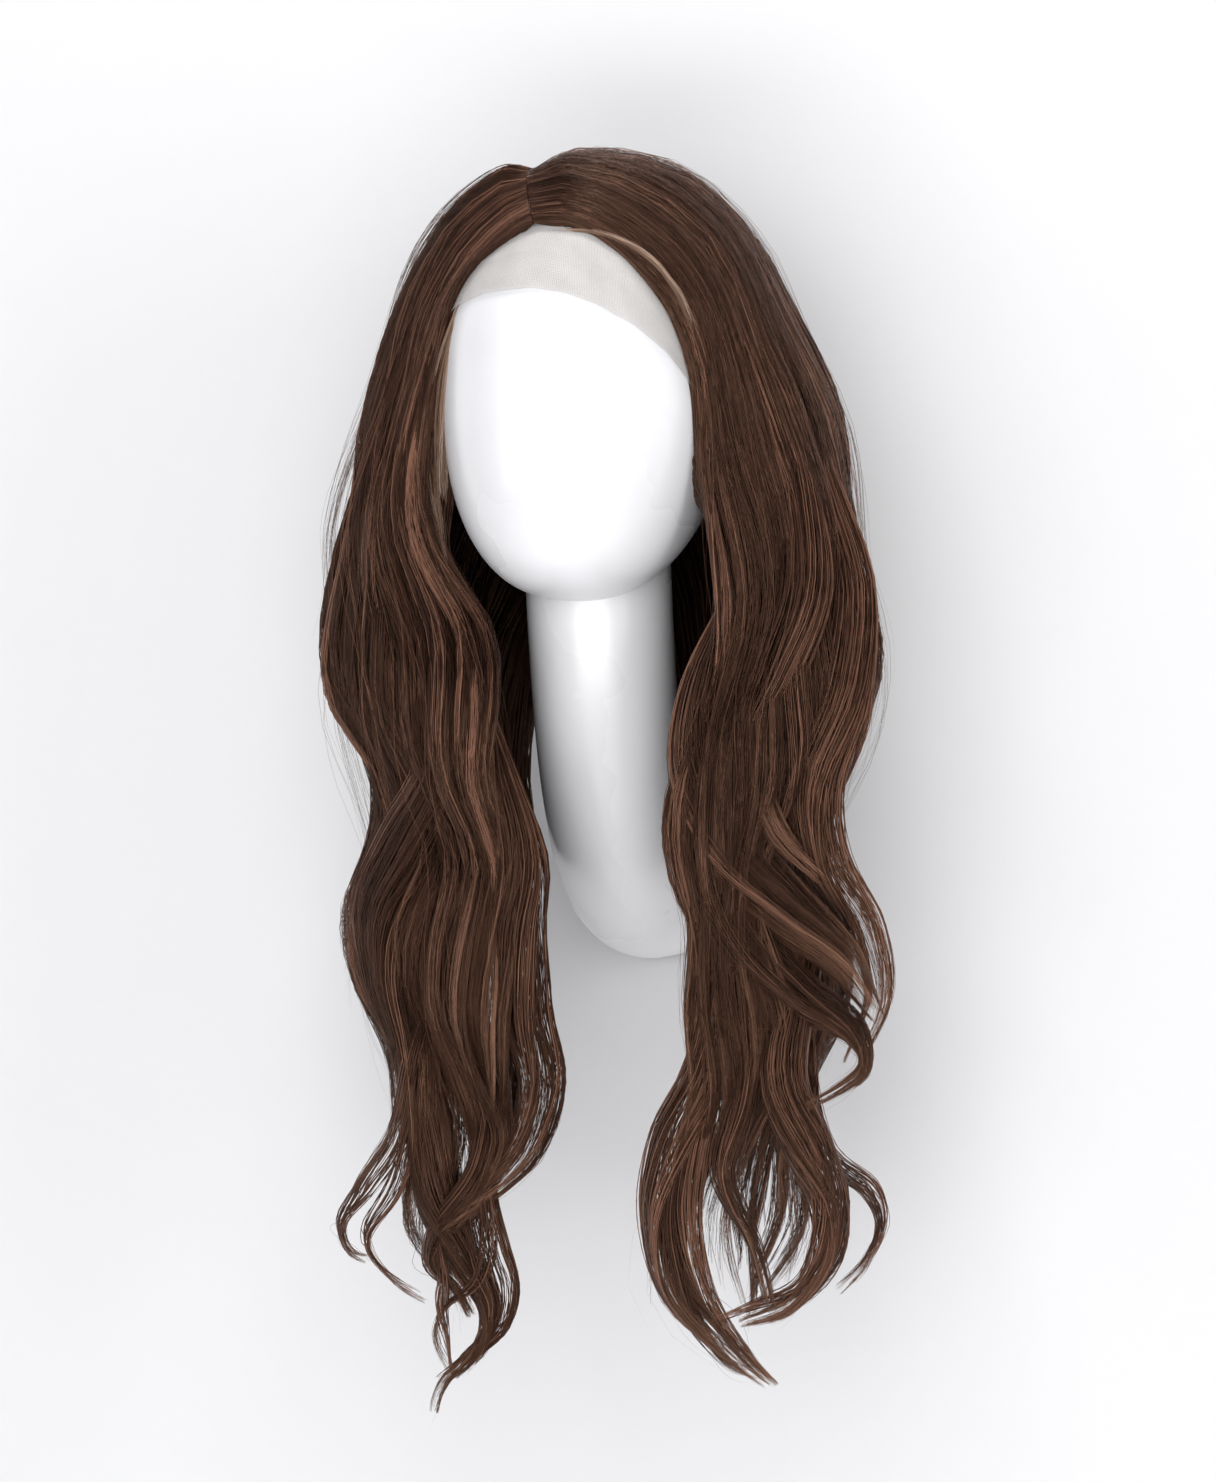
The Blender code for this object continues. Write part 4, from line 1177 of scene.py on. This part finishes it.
def make_birch():
    material, tree = new_material("birch_plywood")
    place = add(tree, "ShaderNodeTexCoord").outputs["Object"]
    plies = add(tree, "ShaderNodeTexWave", {"Vector": place, "Scale": 105.0, "Distortion": 0.6},
                bands_direction="Y")
    grain = add(tree, "ShaderNodeTexNoise", {"Vector": place, "Scale": 300.0, "Detail": 4.0})
    mixed = add(tree, "ShaderNodeMath", {0: plies.outputs["Fac"], 1: 0.6, 2: grain.outputs["Fac"]},
                operation="MULTIPLY_ADD")
    colours = ((0.35, "#b98f5e"), (1.0, "#dcc196"))
    colour = add(tree, "ShaderNodeValToRGB", {"Fac": mixed.outputs[0]}, colours).outputs["Color"]
    wood = add(tree, "ShaderNodeBsdfPrincipled", {"Base Color": colour, "Roughness": 0.6})
    add(tree, "ShaderNodeOutputMaterial", {"Surface": wood.outputs["BSDF"]})
    return material


def make_thread(name, dark, light, scale, roughness):
    material, tree = new_material(name)
    place = add(tree, "ShaderNodeTexCoord").outputs["Object"]
    noise = add(tree, "ShaderNodeTexNoise", {"Vector": place, "Scale": scale, "Detail": 2.0})
    colours = ((0.35, dark), (0.65, light))
    colour = add(tree, "ShaderNodeValToRGB", {"Fac": noise.outputs["Fac"]}, colours).outputs["Color"]
    bump = add(tree, "ShaderNodeBump", {"Height": noise.outputs["Fac"], "Strength": 0.3, "Distance": 0.0002})
    body = add(tree, "ShaderNodeBsdfPrincipled",
               {"Base Color": colour, "Roughness": roughness, "Normal": bump.outputs["Normal"]})
    add(tree, "ShaderNodeOutputMaterial", {"Surface": body.outputs["BSDF"]})
    return material


ZINC, BIRCH = make_zinc(), make_birch()
THREAD = make_thread("sewing_thread_brown", "#2b1f1a", "#4a382f", 900.0, 0.7)
NYLON = make_thread("moulded_nylon_brown", "#3c2a20", "#4b362a", 120.0, 0.35)
SCREWS = [f"plate_screw_{i}" for i in range(1, 5)]
FINISHES = {
    ZINC: ["wall_plate", "hook_stud_left", "hook_stud_right", "keyhole_plate", *SCREWS],
    BIRCH: ["neck_plug"],
    THREAD: [f"weft_track_{i}" for i in range(1, 6)],
    NYLON: ["temple_comb_left", "temple_comb_right"],
}
for finish, names in FINISHES.items():
    for name in names:
        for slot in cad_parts[name].material_slots:
            slot.material = finish
print("finished", sum(len(names) for names in FINISHES.values()), "CAD nodes")

# %% [markdown]
# ## Wall, floor and light
#
# The head hangs on a white wall, in the even light of large soft lamps. The wall is only there for
# whoever stands in front of it: its back face is clear, so the head can be looked at from behind.

# %% Set the stage
def make_wall_paint():
    material, tree = new_material("matt_wall_paint")
    paint = add(tree, "ShaderNodeBsdfPrincipled", {"Base Color": linear("#dededf"), "Roughness": 0.9})
    clear = add(tree, "ShaderNodeBsdfTransparent")
    side = add(tree, "ShaderNodeNewGeometry").outputs["Backfacing"]
    mix = add(tree, "ShaderNodeMixShader", {"Fac": side})
    tree.links.new(paint.outputs["BSDF"], mix.inputs[1])
    tree.links.new(clear.outputs["BSDF"], mix.inputs[2])
    add(tree, "ShaderNodeOutputMaterial", {"Surface": mix.outputs["Shader"]})
    return material


def stage_plane(name, corners, material):
    mesh = bpy.data.meshes.new(name)
    mesh.from_pydata(corners, [], [(0, 1, 2, 3)])
    mesh.materials.append(material)
    plane = object_of(name, mesh)
    return plane


def area_light(name, place, aim, size, power):
    data = bpy.data.lights.new(name, "AREA")
    data.shape = "RECTANGLE"
    data.size, data.size_y = size
    data.energy = power
    light = bpy.data.objects.new(name, data)
    bpy.context.scene.collection.objects.link(light)
    light.location = place
    light.rotation_euler = (Vector(aim) - Vector(place)).to_track_quat("-Z", "Y").to_euler()
    return light


WALL_PAINT = make_wall_paint()
REACH, FRONT_Y, CEILING_Z = 4.0, -6, 3
floor_z, back_y = cad_box[0][2] - 0.65, WALL_Y + 0.0005
foot_left, foot_right = (-REACH, back_y, floor_z), (REACH, back_y, floor_z)
stage_plane(
    "wall", [foot_left, foot_right, (REACH, back_y, CEILING_Z), (-REACH, back_y, CEILING_Z)], WALL_PAINT
)
stage_plane(
    "floor", [(-REACH, FRONT_Y, floor_z), (REACH, FRONT_Y, floor_z), foot_right, foot_left], WALL_PAINT
)
world = bpy.data.worlds.new("studio")
bpy.context.scene.world = world
world.use_nodes = True
world.node_tree.nodes["Background"].inputs["Color"].default_value = linear("#fafaff")
world.node_tree.nodes["Background"].inputs["Strength"].default_value = 0.32
area_light("front box", (0.3, -3.2, 0.7), (0, -0.1, 0.0), (2.4, 1.6), 36)
area_light("top box", (0.1, -0.8, 2.4), (0, -0.2, 0.2), (0.9, 0.6), 34)
area_light("floor reflector", (0.1, -2.4, -0.85), (0, -0.1, 0.0), (2.4, 0.9), 36)
area_light("right box", (2.7, -1.8, 0.3), (0, -0.1, 0.05), (0.8, 1.8), 25)
area_light("left box", (-2.6, -2.2, 0.4), (0, -0.1, 0.05), (0.8, 1.8), 8)
bpy.context.scene.view_settings.view_transform = "Standard"
print("stage set")
